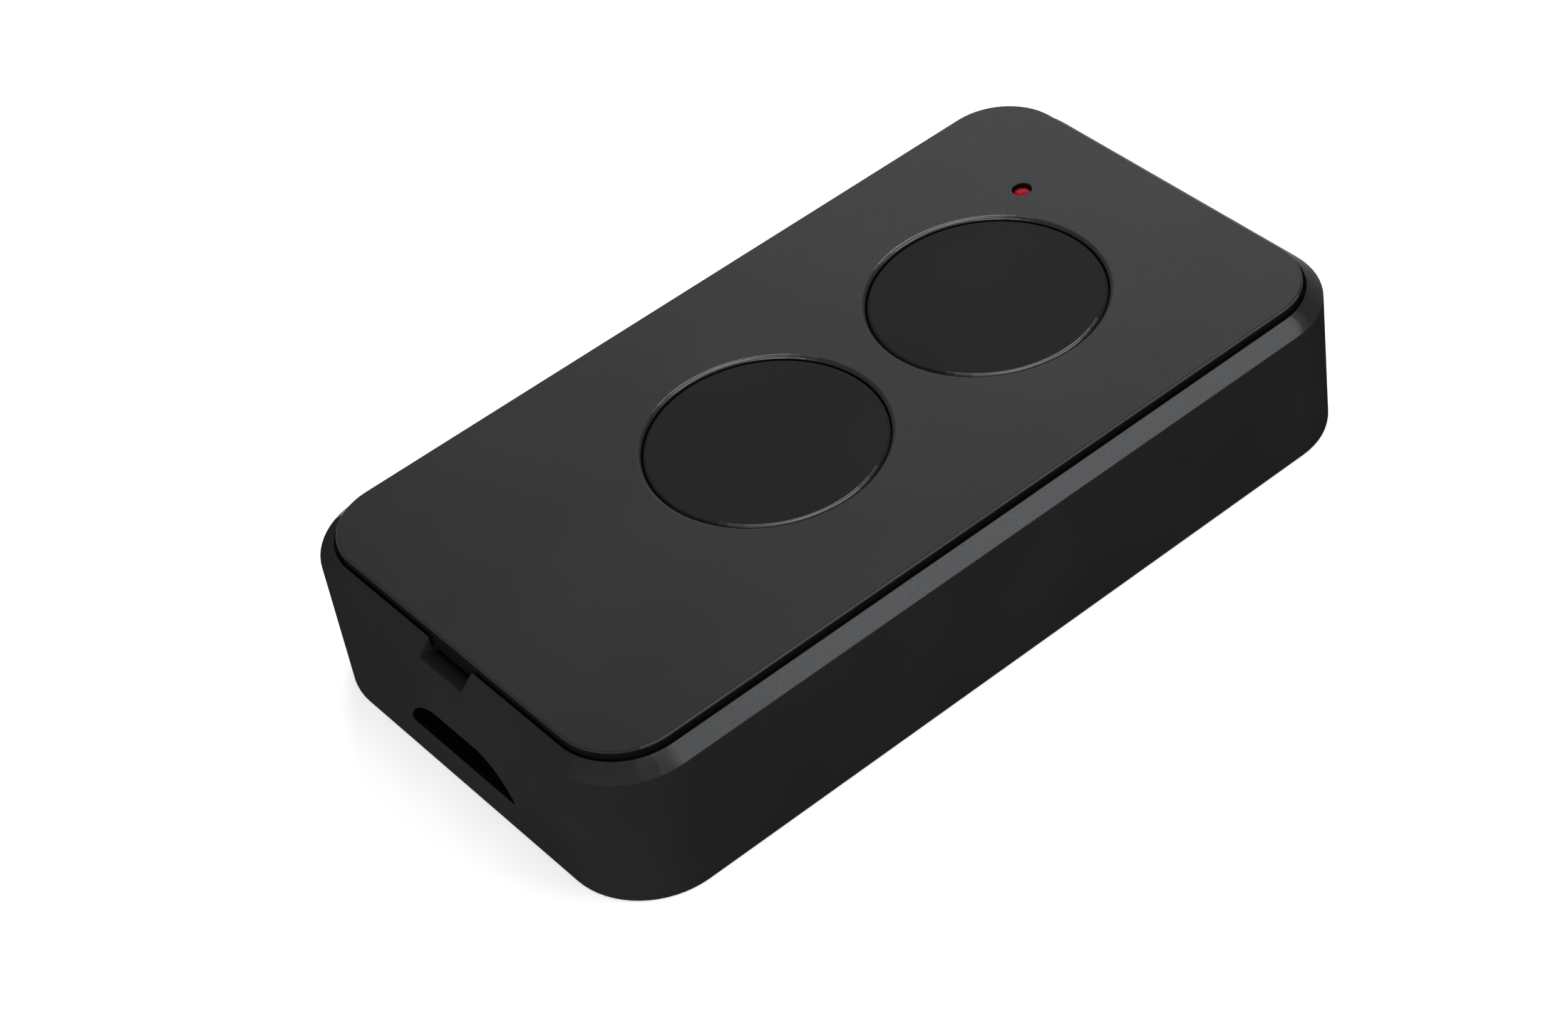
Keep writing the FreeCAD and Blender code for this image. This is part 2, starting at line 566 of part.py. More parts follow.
    # Pry notch: level with the foot of the bevel outside, falling inwards under the cover's edge
    lip = f"({RIM_TOP} - rim_chamfer_drop)"
    notch = sketch_on(body, "Notch", "YZ_Plane", "-notch_width / 2")
    polygon(notch, [
        (f"-({HALF_LENGTH} + wall_thickness)", RIM_TOP + " + cover_proud"),
        (f"-({HALF_LENGTH} + wall_thickness)", lip),
        (f"-{HALF_LENGTH}", lip),
        (f"-{CAVITY_HALF_LENGTH}", f"{lip} - notch_fall"),
        (f"-{CAVITY_HALF_LENGTH}", RIM_TOP + " + cover_proud"),
    ])
    pocket(body, notch, "notch_width", flipped=True)

    # Pockets for the cover's tongues at the lamp end and for its hooks at the eye end
    pockets = sketch_on(body, "CatchPockets", "XY_Plane", f"{TONGUE_TOP} + catch_gap")
    depth_y = f"({SKIRT_HALF_LENGTH} + tongue_reach + catch_gap)"
    hook_y = f"({SKIRT_HALF_LENGTH} + hook_reach + catch_gap)"
    for side in ("", "-"):
        low = f"{side}({HOOK_X} - hook_width / 2 - catch_gap)"
        high = f"{side}({HOOK_X} + hook_width / 2 + catch_gap)"
        inner_y = f"({CAVITY_HALF_LENGTH} - wall_thickness)"
        rectangle(pockets, low, high, inner_y, depth_y)
        rectangle(pockets, low, high, f"-{inner_y}", f"-{hook_y}")
    pocket(body, pockets, "hook_height + 2 * catch_gap")
    return body


def build_top_cover():
    """Snap-in plate with two button holes, a lamp hole, skirt, collars, tongues, hooks and posts."""
    body = add_body("top_cover")
    plate = sketch_on(body, "Plate", "XY_Plane", COVER_UNDER)
    inset = "(rim_wall + cover_gap)"
    rounded_rectangle(
        plate,
        f"overall_width - 2 * {inset}",
        f"overall_length - 2 * {inset}",
        f"corner_radius - {inset}",
    )
    circle(plate, "0", BUTTON_1_Y, "button_diameter + 2 * button_hole_gap")
    circle(plate, "0", BUTTON_2_Y, "button_diameter + 2 * button_hole_gap")
    circle(plate, "lamp_x", LAMP_Y, "lamp_hole")
    pad(body, plate, "cover_thickness")

    hole_radius = sheet.button_diameter / 2 + sheet.button_hole_gap

    def rings_a_button(edge):
        return isinstance(edge.Curve, Part.Circle) and abs(edge.Curve.Radius - hole_radius) < 1e-4

    def runs_round_the_plate(edge):
        corner = sheet.corner_radius - sheet.rim_wall - sheet.cover_gap
        return not isinstance(edge.Curve, Part.Circle) or abs(edge.Curve.Radius - corner) < 1e-4

    top = sheet.overall_height
    bevel_edges(body, edges_at_height(body, top, rings_a_button), "button_hole_bevel")
    bevel_edges(body, edges_at_height(body, top, runs_round_the_plate), "cover_bevel")

    skirt = sketch_on(body, "Skirt", "XY_Plane", COVER_UNDER)
    rounded_rectangle(skirt, f"2 * {SKIRT_HALF_WIDTH}", f"2 * {SKIRT_HALF_LENGTH}", SKIRT_CORNER)
    rounded_rectangle(
        skirt,
        f"2 * ({SKIRT_HALF_WIDTH} - skirt_thickness)",
        f"2 * ({SKIRT_HALF_LENGTH} - skirt_thickness)",
        f"{SKIRT_CORNER} - skirt_thickness",
    )
    pad(body, skirt, "skirt_depth", flipped=True)

    for name, centre in (("Collar1", BUTTON_1_Y), ("Collar2", BUTTON_2_Y)):
        collar = sketch_on(body, name, "XY_Plane", COVER_UNDER)
        circle(collar, "0", centre, f"2 * {COLLAR_INNER}")
        circle(collar, "0", centre, f"2 * {COLLAR_OUTER}")
        pad(body, collar, "collar_depth", flipped=True)
    slots = sketch_on(body, "KeySlots", "XY_Plane", COVER_UNDER)
    slot_inner = f"({COLLAR_INNER} - key_gap)"
    slot_outer = f"({COLLAR_OUTER} + key_gap)"
    half = "(key_width / 2 + key_gap)"
    for centre in (BUTTON_1_Y, BUTTON_2_Y):
        rectangle(slots, slot_inner, slot_outer, f"{centre} - {half}", f"{centre} + {half}")
    pocket(body, slots, "collar_depth")

    boss = sketch_on(body, "LampBoss", "XY_Plane", COVER_UNDER)
    circle(boss, "lamp_x", LAMP_Y, "guide_flange + 2 * boss_gap + 2 * boss_wall")
    pad(body, boss, "boss_depth", flipped=True)
    boss_hole = sketch_on(body, "LampBossHole", "XY_Plane", f"{COVER_UNDER} - boss_depth - collar_depth")
    circle(boss_hole, "lamp_x", LAMP_Y, "guide_flange + 2 * boss_gap")
    pocket(body, boss_hole, "boss_depth + collar_depth", flipped=True)

    posts = sketch_on(body, "PressPosts", "XY_Plane", COVER_UNDER)
    for side, end in (("", ""), ("-", ""), ("", "-"), ("-", "-")):
        middle_x = side + POST_X
        middle_y = end + PRESS_POST_Y
        rectangle(
            posts,
            f"{middle_x} - press_post_thickness / 2",
            f"{middle_x} + press_post_thickness / 2",
            f"{middle_y} - press_post_width / 2",
            f"{middle_y} + press_post_width / 2",
        )
    pad(body, posts, f"{COVER_UNDER} - {BOARD_TOP} - press_post_gap", flipped=True)

    # Tongues at the lamp end
    tongues = sketch_on(body, "Tongues", "XY_Plane", TONGUE_TOP)
    inner_y = f"({SKIRT_HALF_LENGTH} - skirt_thickness / 2)"
    for side in ("", "-"):
        low = f"{side}({HOOK_X} - hook_width / 2)"
        high = f"{side}({HOOK_X} + hook_width / 2)"
        rectangle(tongues, low, high, inner_y, f"{SKIRT_HALF_LENGTH} + tongue_reach")
    pad(body, tongues, "tongue_thickness", flipped=True)

    # Hooks at the eye end, flat on top and tapered below so that they snap in
    for name, middle in (("HookRight", HOOK_X), ("HookLeft", "-" + HOOK_X)):
        start = f"{middle} - hook_width / 2"
        hook = sketch_on(body, name, "YZ_Plane", start)
        polygon(hook, [
            (f"-({SKIRT_HALF_LENGTH} - skirt_thickness / 2)", TONGUE_TOP),
            (f"-({SKIRT_HALF_LENGTH} + hook_reach)", TONGUE_TOP),
            (f"-({SKIRT_HALF_LENGTH} + hook_reach)", f"{TONGUE_TOP} - hook_height / 4"),
            (f"-{SKIRT_HALF_LENGTH}", f"{TONGUE_TOP} - hook_height"),
            (f"-({SKIRT_HALF_LENGTH} - skirt_thickness / 2)", f"{TONGUE_TOP} - hook_height"),
        ])
        pad(body, hook, "hook_width")
    return body


def build_button(label, centre):
    """Cap with a stop flange, a hollow ribbed underside, a stem over the switch and a key."""
    body = add_body(label)
    section = sketch_on(body, label + "_section", "XZ_Plane")
    inner = "(button_diameter / 2 - button_wall)"
    polygon(section, [
        ("0", BUTTON_TOP),
        ("0", STEM_END),
        ("button_stem_diameter / 2", STEM_END),
        ("button_stem_diameter / 2", CROWN_UNDER),
        (inner, CROWN_UNDER),
        (inner, FLANGE_UNDER),
        (FLANGE_RADIUS, FLANGE_UNDER),
        (FLANGE_RADIUS, FLANGE_TOP),
        ("button_diameter / 2", FLANGE_TOP),
        ("button_diameter / 2", BUTTON_TOP),
    ])
    revolve(body, section)
    bevel_edges(body, edges_at_height(body, sheet.overall_height - sheet.button_recess), "button_bevel")

    rib = sketch_on(body, label + "_rib", "XY_Plane", f"{CROWN_UNDER} - button_rib_depth")
    half = "button_rib_width / 2"
    rib_start = "button_stem_diameter / 2 - button_rib_width / 2"
    rectangle(rib, rib_start, f"{inner} + button_wall / 2", f"-{half}", half)
    first = pad(body, rib, "button_rib_depth + button_crown / 2")
    ribs = body.newObject("PartDesign::PolarPattern", "PolarPattern")
    ribs.Originals = [first]
    ribs.Axis = (origin_feature(body, "Z_Axis"), [""])
    ribs.Angle = 360
    ribs.Occurrences = 4
    body.Tip = ribs
    doc.recompute()

    key = sketch_on(body, label + "_key", "XY_Plane", FLANGE_UNDER)
    key_start = f"{FLANGE_RADIUS} - button_flange_width"
    rectangle(key, key_start, f"{FLANGE_RADIUS} + key_reach", "-key_width / 2", "key_width / 2")
    pad(body, key, "button_flange_thickness")
    bind(body, "Placement.Base.y", centre)
    return body


def build_circuit_board():
    """Board with a bay for the key ring's duct and holes for the locating pins."""
    body = add_body("circuit_board")
    outline = sketch_on(body, "BoardOutline", "XY_Plane", BOARD_UNDER)
    rounded_rectangle(outline, f"2 * {BOARD_HALF_WIDTH}", f"2 * {BOARD_HALF_LENGTH}", BOARD_CORNER)
    circle(outline, POST_X, REST_Y, "pin_diameter + 2 * pin_gap")
    circle(outline, "-" + POST_X, "-" + REST_Y, "pin_diameter + 2 * pin_gap")
    pad(body, outline, "board_thickness")
    bay = sketch_on(body, "DuctBay", "XY_Plane", BOARD_TOP)
    half = f"({DUCT_HALF_WIDTH} + board_gap)"
    rectangle(bay, f"-{half}", half, f"-{HALF_LENGTH}", f"-({DUCT_END_Y} - board_gap)")
    pocket(body, bay, "board_thickness")
    return body


def build_antenna_track():
    """Copper loop on the board, along its edge at the lamp end."""
    body = add_body("antenna_track")
    loop = sketch_on(body, "Loop", "XY_Plane", BOARD_TOP)
    for inset in ("track_inset", "(track_inset + track_width)"):
        rounded_rectangle(
            loop,
            f"2 * ({BOARD_HALF_WIDTH} - {inset})",
            f"2 * ({BOARD_HALF_LENGTH} - {inset})",
            f"{BOARD_CORNER} - {inset}",
        )
    pad(body, loop, "track_thickness")
    open_end = sketch_on(body, "OpenEnd", "XY_Plane", f"{BOARD_TOP} + track_thickness")
    rectangle(open_end, f"-{HALF_WIDTH}", HALF_WIDTH, f"-{HALF_LENGTH}", f"{HALF_LENGTH} - track_reach")
    pocket(body, open_end, "track_thickness")
    return body


def build_coin_cell():
    """Round cell: positive can below, smaller negative cap above."""
    body = add_body("coin_cell")
    section = sketch_on(body, "CellSection", "XZ_Plane")
    rim = "cell_diameter / 2"
    cap = "cell_cap / 2"
    polygon(section, [
        ("0", CELL_UNDER),
        (rim, CELL_UNDER),
        (rim, f"{CELL_TOP} - cell_cap_step"),
        (cap, f"{CELL_TOP} - cell_cap_step"),
        (cap, CELL_TOP),
        ("0", CELL_TOP),
    ])
    revolve(body, section)
    bind(body, "Placement.Base.y", CELL_Y)
    return body


def build_battery_clip():
    """Positive contact: a strap under the cell with two legs and soldered feet."""
    body = add_body("battery_clip")
    section = sketch_on(body, "ClipSection", "XZ_Plane", "-clip_width / 2")
    leg = "(cell_diameter / 2 + clip_side_gap)"
    outer = f"({leg} + clip_thickness)"
    foot = f"({outer} + clip_foot)"
    half = [
        (leg, CELL_UNDER),
        (leg, BOARD_UNDER),
        (foot, BOARD_UNDER),
        (foot, f"{BOARD_UNDER} - clip_thickness"),
        (outer, f"{BOARD_UNDER} - clip_thickness"),
        (outer, CLIP_UNDER),
    ]
    mirrored = [("-" + across, along) for across, along in reversed(half)]
    polygon(section, half + mirrored)
    pad(body, section, "clip_width")
    bind(body, "Placement.Base.y", CELL_Y)
    return body


def build_battery_contact():
    """Negative contact: a bowed leaf between the board and the cell's cap."""
    body = add_body("battery_contact")
    section = sketch_on(body, "LeafSection", "XZ_Plane", "-contact_width / 2")
    end = "(contact_length / 2)"
    knee = "(contact_length / 4)"
    bow = "(contact_length / 10)"
    half = [
        (bow, CELL_TOP),
        (knee, f"{BOARD_UNDER} - contact_thickness"),
        (end, f"{BOARD_UNDER} - contact_thickness"),
        (end, BOARD_UNDER),
        (knee, BOARD_UNDER),
        (bow, f"{CELL_TOP} + contact_thickness"),
    ]
    mirrored = [("-" + across, along) for across, along in reversed(half)]
    polygon(section, half + mirrored)
    pad(body, section, "contact_width")
    bind(body, "Placement.Base.y", CELL_Y)
    return body


def stepped_lead(sketch, start, knee, reach, rise, thickness):
    """Draws the side view of a lead that steps down from a body to its foot on the board."""
    polygon(sketch, [
        (start, f"{BOARD_TOP} + {rise} + {thickness}"),
        (f"{start} + {knee} + {thickness}", f"{BOARD_TOP} + {rise} + {thickness}"),
        (f"{start} + {knee} + {thickness}", f"{BOARD_TOP} + {thickness}"),
        (f"{start} + {reach}", f"{BOARD_TOP} + {thickness}"),
        (f"{start} + {reach}", BOARD_TOP),
        (f"{start} + {knee}", BOARD_TOP),
        (f"{start} + {knee}", f"{BOARD_TOP} + {rise}"),
        (start, f"{BOARD_TOP} + {rise}"),
    ])


def build_switch(number, centre):
    """Low push switch: base, dome, plunger, metal cover and four terminals."""
    half = "(switch_side / 2)"

    base = add_body(f"switch_base_{number}")
    block = sketch_on(base, f"BaseOutline{number}", "XY_Plane", BOARD_TOP)
    rectangle(block, f"-{half}", half, f"-{half}", half)
    pad(base, block, "switch_base_height")
    bevel_edges(base, upright_edges(base), "switch_corner")
    well = sketch_on(base, f"Well{number}", "XY_Plane", BASE_TOP)
    circle(well, "0", "0", "switch_well")
    pocket(base, well, "switch_well_depth")

    dome = add_body(f"switch_dome_{number}")
    section = sketch_on(dome, f"DomeSection{number}", "XZ_Plane")
    low = f"({BASE_TOP} - switch_well_depth)"
    crown = f"({BASE_TOP} - plunger_rest_gap - plunger_flange_thickness - dome_gap)"
    rim = "(switch_well / 2 - dome_rim_gap)"
    polygon(section, [
        ("0", crown),
        ("dome_crown", crown),
        (rim, low),
        (f"{rim} - 2 * dome_sheet", low),
        ("dome_crown - dome_sheet", f"{crown} - dome_sheet"),
        ("0", f"{crown} - dome_sheet"),
    ])
    revolve(dome, section)

    plunger = add_body(f"switch_plunger_{number}")
    section = sketch_on(plunger, f"PlungerSection{number}", "XZ_Plane")
    flange_top = f"({BASE_TOP} - plunger_rest_gap)"
    polygon(section, [
        ("0", f"{flange_top} - plunger_flange_thickness"),
        ("plunger_flange / 2", f"{flange_top} - plunger_flange_thickness"),
        ("plunger_flange / 2", flange_top),
        ("plunger_diameter / 2", flange_top),
        ("plunger_diameter / 2", PLUNGER_TOP),
        ("0", PLUNGER_TOP),
    ])
    revolve(plunger, section)

    cover = add_body(f"switch_cover_{number}")
    sheet_metal = sketch_on(cover, f"CoverOutline{number}", "XY_Plane", BASE_TOP)
    ear = "(switch_ear_width / 2)"
    lip = f"({half} + switch_cover_thickness)"
    trim = f"({half} - switch_corner)"
    polygon(sheet_metal, [
        (f"-{half}", f"-{trim}"),
        (f"-{trim}", f"-{half}"),
        (f"-{ear}", f"-{half}"),
        (f"-{ear}", f"-{lip}"),
        (ear, f"-{lip}"),
        (ear, f"-{half}"),
        (trim, f"-{half}"),
        (half, f"-{trim}"),
        (half, trim),
        (trim, half),
        (ear, half),
        (ear, lip),
        (f"-{ear}", lip),
        (f"-{ear}", half),
        (f"-{trim}", half),
        (f"-{half}", trim),
    ])
    circle(sheet_metal, "0", "0", "plunger_diameter + 2 * plunger_gap")
    pad(cover, sheet_metal, "switch_cover_thickness")
    ears = sketch_on(cover, f"Ears{number}", "XY_Plane", BASE_TOP)
    rectangle(ears, f"-{ear}", ear, half, lip)
    rectangle(ears, f"-{ear}", ear, f"-{lip}", f"-{half}")
    pad(cover, ears, "switch_ear_drop", flipped=True)

    terminals = add_body(f"switch_terminals_{number}")
    start = "(terminal_spacing / 2 + terminal_width / 2)"
    side_view = sketch_on(terminals, f"Terminal{number}", "XZ_Plane", f"-{start}")
    stepped_lead(side_view, half, "terminal_knee", "terminal_reach", "terminal_rise", "terminal_thickness")
    pad(terminals, side_view, "terminal_width")
    mirror_whole(terminals, "XZ_Plane")
    mirror_whole(terminals, "YZ_Plane")

    bodies = [base, dome, plunger, cover, terminals]
    for body in bodies:
        bind(body, "Placement.Base.y", centre)
    return bodies


def build_light_guide():
    """Red clear rod that carries the lamp chip's light up to the cover."""
    body = add_body("light_guide")
    section = sketch_on(body, "GuideSection", "XZ_Plane")
    rod = "(lamp_hole / 2 - guide_gap)"
    tip = "(overall_height - guide_recess)"
    flange_top = f"({COVER_UNDER} - guide_seat_gap)"
    foot = f"({BOARD_TOP} + led_base_height + led_lens_height + guide_led_gap)"
    polygon(section, [
        ("0", foot),
        ("guide_foot / 2", foot),
        ("guide_foot / 2", f"{flange_top} - guide_flange_thickness"),
        ("guide_flange / 2", f"{flange_top} - guide_flange_thickness"),
        ("guide_flange / 2", flange_top),
        (rod, flange_top),
        (rod, tip),
        ("0", tip),
    ])
    revolve(body, section)
    bind(body, "Placement.Base.x", "lamp_x")
    bind(body, "Placement.Base.y", LAMP_Y)
    return body


def build_box(label, sizes, place):
    """Plain block on the board: lengths along X, Y and Z, and the place of its middle and foot."""
    block = doc.addObject("Part::Box", label)
    for name, text in zip(("Length", "Width", "Height"), sizes):
        bind(block, name, text)
    across, along, foot = place
    bind(block, "Placement.Base.x", f"{across} - ({sizes[0]}) / 2")
    bind(block, "Placement.Base.y", f"{along} - ({sizes[1]}) / 2")
    bind(block, "Placement.Base.z", foot)
    return block


def build_lamp_chip():
    base_sizes = ("led_length", "led_width", "led_base_height")
    lens_sizes = ("led_lens_length", "led_width", "led_lens_height")
    base = build_box("led_base", base_sizes, ("lamp_x", LAMP_Y, BOARD_TOP))
    lens = build_box("led_lens", lens_sizes, ("lamp_x", LAMP_Y, f"{BOARD_TOP} + led_base_height"))
    return [base, lens]


def build_encoder():
    """Encoder chip with a bevelled top and seven leads on each side."""
    chip = add_body("encoder_chip")
    outline = sketch_on(chip, "ChipOutline", "XY_Plane", f"{BOARD_TOP} + encoder_standoff")
    half_x = "(encoder_length / 2)"
    half_y = "(encoder_width / 2)"
    rectangle(outline, f"-{half_x}", half_x, f"-{half_y}", half_y)
    pad(chip, outline, "encoder_height")
    bevel_edges(chip, edges_at_height(chip, chip.Shape.BoundBox.ZMax), "encoder_bevel")

    leads = add_body("encoder_leads")
    start = "-((lead_count - 1) * lead_pitch / 2 + lead_width / 2)"
    side_view = sketch_on(leads, "Lead", "YZ_Plane", start)
    stepped_lead(side_view, half_y, "lead_knee", "lead_reach", "lead_rise", "lead_thickness")
    first = pad(leads, side_view, "lead_width")
    row = leads.newObject("PartDesign::LinearPattern", "LinearPattern")
    row.Originals = [first]
    row.Direction = (origin_feature(leads, "X_Axis"), [""])
    bind(row, "Length", "(lead_count - 1) * lead_pitch")
    bind(row, "Occurrences", "lead_count")
    leads.Tip = row
    doc.recompute()
    mirror_whole(leads, "XZ_Plane")
    for body in (chip, leads):
        bind(body, "Placement.Base.y", ENCODER_Y)
    return [chip, leads]


def build_resonator():
    """Square ceramic resonator with a welded metal lid."""
    base = add_body("saw_resonator")
    outline = sketch_on(base, "ResonatorOutline", "XY_Plane", BOARD_TOP)
    half = "resonator_side / 2"
    rectangle(outline, "-" + half, half, "-" + half, half)
    pad(base, outline, "resonator_height")
    lid = add_body("resonator_lid")
    plate = sketch_on(lid, "LidOutline", "XY_Plane", f"{BOARD_TOP} + resonator_height")
    half_lid = "(resonator_side / 2 - resonator_lid_inset)"
    rectangle(plate, "-" + half_lid, half_lid, "-" + half_lid, half_lid)
    pad(lid, plate, "resonator_lid_thickness")
    for body in (base, lid):
        bind(body, "Placement.Base.x", RESONATOR_X)
        bind(body, "Placement.Base.y", RESONATOR_Y)
    return [base, lid]


def build_transistor():
    """Small three-lead transistor."""
    case = add_body("rf_transistor")
    outline = sketch_on(case, "CaseOutline", "XY_Plane", f"{BOARD_TOP} + encoder_standoff")
    half_x = "(transistor_length / 2)"
    half_y = "(transistor_width / 2)"
    rectangle(outline, f"-{half_x}", half_x, f"-{half_y}", half_y)
    pad(case, outline, "transistor_height")
    bevel_edges(case, edges_at_height(case, case.Shape.BoundBox.ZMax), "encoder_bevel / 2")

    leads = add_body("transistor_leads")
    single = sketch_on(leads, "SingleLead", "YZ_Plane", "-lead_width / 2")
    stepped_lead(single, half_y, "lead_knee", "lead_reach", "lead_rise / 2", "lead_thickness")
    pad(leads, single, "lead_width")
    for step, sign in enumerate(("-", "")):
        pair = sketch_on(leads, f"PairLead{step}", "YZ_Plane", f"{sign}transistor_pitch / 2 - lead_width / 2")
        rise = "lead_rise / 2"
        polygon(pair, [
            (f"-{half_y}", f"{BOARD_TOP} + {rise} + lead_thickness"),
            (f"-{half_y}", f"{BOARD_TOP} + {rise}"),
            (f"-({half_y} + lead_knee)", f"{BOARD_TOP} + {rise}"),
            (f"-({half_y} + lead_knee)", BOARD_TOP),
            (f"-({half_y} + lead_reach)", BOARD_TOP),
            (f"-({half_y} + lead_reach)", f"{BOARD_TOP} + lead_thickness"),
            (f"-({half_y} + lead_knee + lead_thickness)", f"{BOARD_TOP} + lead_thickness"),
            (f"-({half_y} + lead_knee + lead_thickness)", f"{BOARD_TOP} + {rise} + lead_thickness"),
        ])
        pad(leads, pair, "lead_width")
    for body in (case, leads):
        bind(body, "Placement.Base.x", "transistor_x")
        bind(body, "Placement.Base.y", TRANSISTOR_Y)
    return [case, leads]


def build_chip_components():
    """Chip resistors, capacitors and inductors with their metal ends; each list holds middles."""
    encoder_side = "(encoder_length / 2 + 2 * part_gap)"
    between_buttons = f"(({BUTTON_1_Y} + {BUTTON_2_Y}) / 2)"
    beside_transistor = "(transistor_x - transistor_length / 2 - part_gap - inductor_width / 2)"
    beside_switch = "(switch_side / 2 + terminal_reach + part_gap / 2 + chip_width / 2)"
    beside_lamp = "(lamp_x - led_length / 2 - part_gap - chip_width / 2)"
    beside_resonator = f"({RESONATOR_X} + resonator_side / 2 + part_gap / 2 + chip_width / 2)"
    groups = [
        ("chip_resistors", "chip_length", "chip_width", "resistor_height", [
            ("-" + encoder_side, f"{ENCODER_Y} + part_gap", "along"),
            ("-" + encoder_side, f"{ENCODER_Y} - part_gap", "along"),
            (encoder_side, f"{ENCODER_Y} + part_gap", "along"),
            ("-5 * part_gap", f"{between_buttons} - part_gap / 2", "across"),
            ("5 * part_gap", f"{between_buttons} + part_gap / 2", "across"),
            ("-2 * part_gap", f"{TRANSISTOR_Y} - 3 * part_gap", "across"),
        ]),
        ("chip_capacitors", "chip_length", "chip_width", "capacitor_height", [
            (encoder_side, f"{ENCODER_Y} - part_gap", "along"),
            (beside_switch, BUTTON_2_Y, "along"),
            ("-5 * part_gap", f"{between_buttons} + part_gap / 2", "across"),
            (beside_transistor, f"{TRANSISTOR_Y} + part_gap + chip_end", "across"),
            (beside_resonator, f"{RESONATOR_Y} - resonator_side / 2 - part_gap / 4", "along"),
            (beside_lamp, LAMP_Y, "along"),
        ]),
        ("chip_inductors", "inductor_length", "inductor_width", "inductor_height", [
            (beside_transistor, TRANSISTOR_Y, "along"),
            (POST_X, f"{BUTTON_1_Y} + part_gap", "along"),
        ]),
    ]
    ends = []
    items = []
    for label, length, width, height, places in groups:
        blocks = []
        for step, (across, along, direction) in enumerate(places):
            name = f"{label}_{step}"
            middle = (across, along, BOARD_TOP)
            lies_across = direction == "across"
            sizes = (length, width, height) if lies_across else (width, length, height)
            blocks.append(build_box(name, sizes, middle))
            end_sizes = ("chip_end", width, height) if lies_across else (width, "chip_end", height)
            shift = f"({length} / 2 + chip_end / 2)"
            for mark, sign in (("a", "-"), ("b", "+")):
                end_x = f"({across} {sign} {shift})" if lies_across else across
                end_y = along if lies_across else f"({along} {sign} {shift})"
                ends.append(build_box(f"{name}_end_{mark}", end_sizes, (end_x, end_y, BOARD_TOP)))
        group = doc.addObject("Part::Compound", label)
        group.Links = blocks
        items.append(group)
    group = doc.addObject("Part::Compound", "chip_ends")
    group.Links = ends
    items.append(group)
    doc.recompute()
    return items


pieces = [
    build_lower_shell(),
    build_top_cover(),
    build_button("button_1", BUTTON_1_Y),
    build_button("button_2", BUTTON_2_Y),
    build_circuit_board(),
    build_antenna_track(),
    build_coin_cell(),
    build_battery_clip(),
    build_battery_contact(),
    build_light_guide(),
]
pieces += build_switch(1, BUTTON_1_Y)
pieces += build_switch(2, BUTTON_2_Y)
pieces += build_lamp_chip()
pieces += build_encoder()
pieces += build_resonator()
pieces += build_transistor()
pieces += build_chip_components()
doc.recompute()

# Nothing is written unless every object is sound
for item in doc.Objects:
    if "Invalid" in item.State or "Error" in item.State:
        raise RuntimeError(f"{item.Label} did not recompute: {item.State}")
for piece in pieces:
    if piece.Shape.isNull() or not piece.Shape.isValid():
        raise RuntimeError(f"{piece.Label} has no valid shape")
for piece in pieces:
    piece.Shape.exportStep(f"parts/{piece.Label}.step")
    box = piece.Shape.BoundBox
    print(f"{piece.Label}: {len(piece.Shape.Solids)} solid(s), {piece.Shape.Volume:.2f} mm3")
    print(f"    x {box.XMin:.2f} to {box.XMax:.2f}, y {box.YMin:.2f} to {box.YMax:.2f}")
    print(f"    z {box.ZMin:.2f} to {box.ZMax:.2f}")
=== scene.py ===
import math
import bmesh
import bpy
from mathutils import Matrix, Vector


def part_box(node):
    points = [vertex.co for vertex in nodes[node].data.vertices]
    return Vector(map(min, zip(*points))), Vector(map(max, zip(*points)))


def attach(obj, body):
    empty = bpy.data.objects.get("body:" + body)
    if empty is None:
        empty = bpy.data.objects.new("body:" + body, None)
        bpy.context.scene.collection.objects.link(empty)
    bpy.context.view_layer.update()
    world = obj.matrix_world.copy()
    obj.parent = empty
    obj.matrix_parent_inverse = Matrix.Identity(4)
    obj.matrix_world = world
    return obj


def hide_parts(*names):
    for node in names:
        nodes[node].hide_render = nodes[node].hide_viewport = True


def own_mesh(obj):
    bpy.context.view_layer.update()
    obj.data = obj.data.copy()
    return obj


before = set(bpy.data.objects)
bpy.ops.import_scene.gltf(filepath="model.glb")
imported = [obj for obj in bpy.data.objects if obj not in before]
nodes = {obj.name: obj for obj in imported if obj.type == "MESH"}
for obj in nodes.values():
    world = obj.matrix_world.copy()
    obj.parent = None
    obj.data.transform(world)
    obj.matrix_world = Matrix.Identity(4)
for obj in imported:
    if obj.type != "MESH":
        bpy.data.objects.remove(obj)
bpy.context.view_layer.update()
scene = bpy.context.scene
scene.view_settings.view_transform = "Standard"

# The photographer's camera: beyond the long wall and the key-ring end, looking down at the remote
# with a long lens. Its angles, in degrees, and its distance, in metres, are those of the photograph.
CAMERA_AZIMUTH = -33.193
CAMERA_ELEVATION = 42.261
CAMERA_ROLL = -10.021
CAMERA_DISTANCE = 0.24068
CAMERA_AIM = (-0.004798, -0.001303, 0.0)
camera_data = bpy.data.cameras.new("camera")
camera_data.sensor_width = 36.0
camera_data.lens = 84.93
camera_data.clip_start = 0.01
camera = bpy.data.objects.new("camera", camera_data)
camera_turn = Matrix.Rotation(math.radians(CAMERA_AZIMUTH + 90), 4, "Z")
camera_tilt = Matrix.Rotation(math.radians(90 - CAMERA_ELEVATION), 4, "X")
camera_roll = Matrix.Rotation(math.radians(CAMERA_ROLL), 4, "Z")
camera_back = Matrix.Translation((0, 0, CAMERA_DISTANCE))
camera.matrix_world = Matrix.Translation(CAMERA_AIM) @ camera_turn @ camera_tilt @ camera_roll @ camera_back
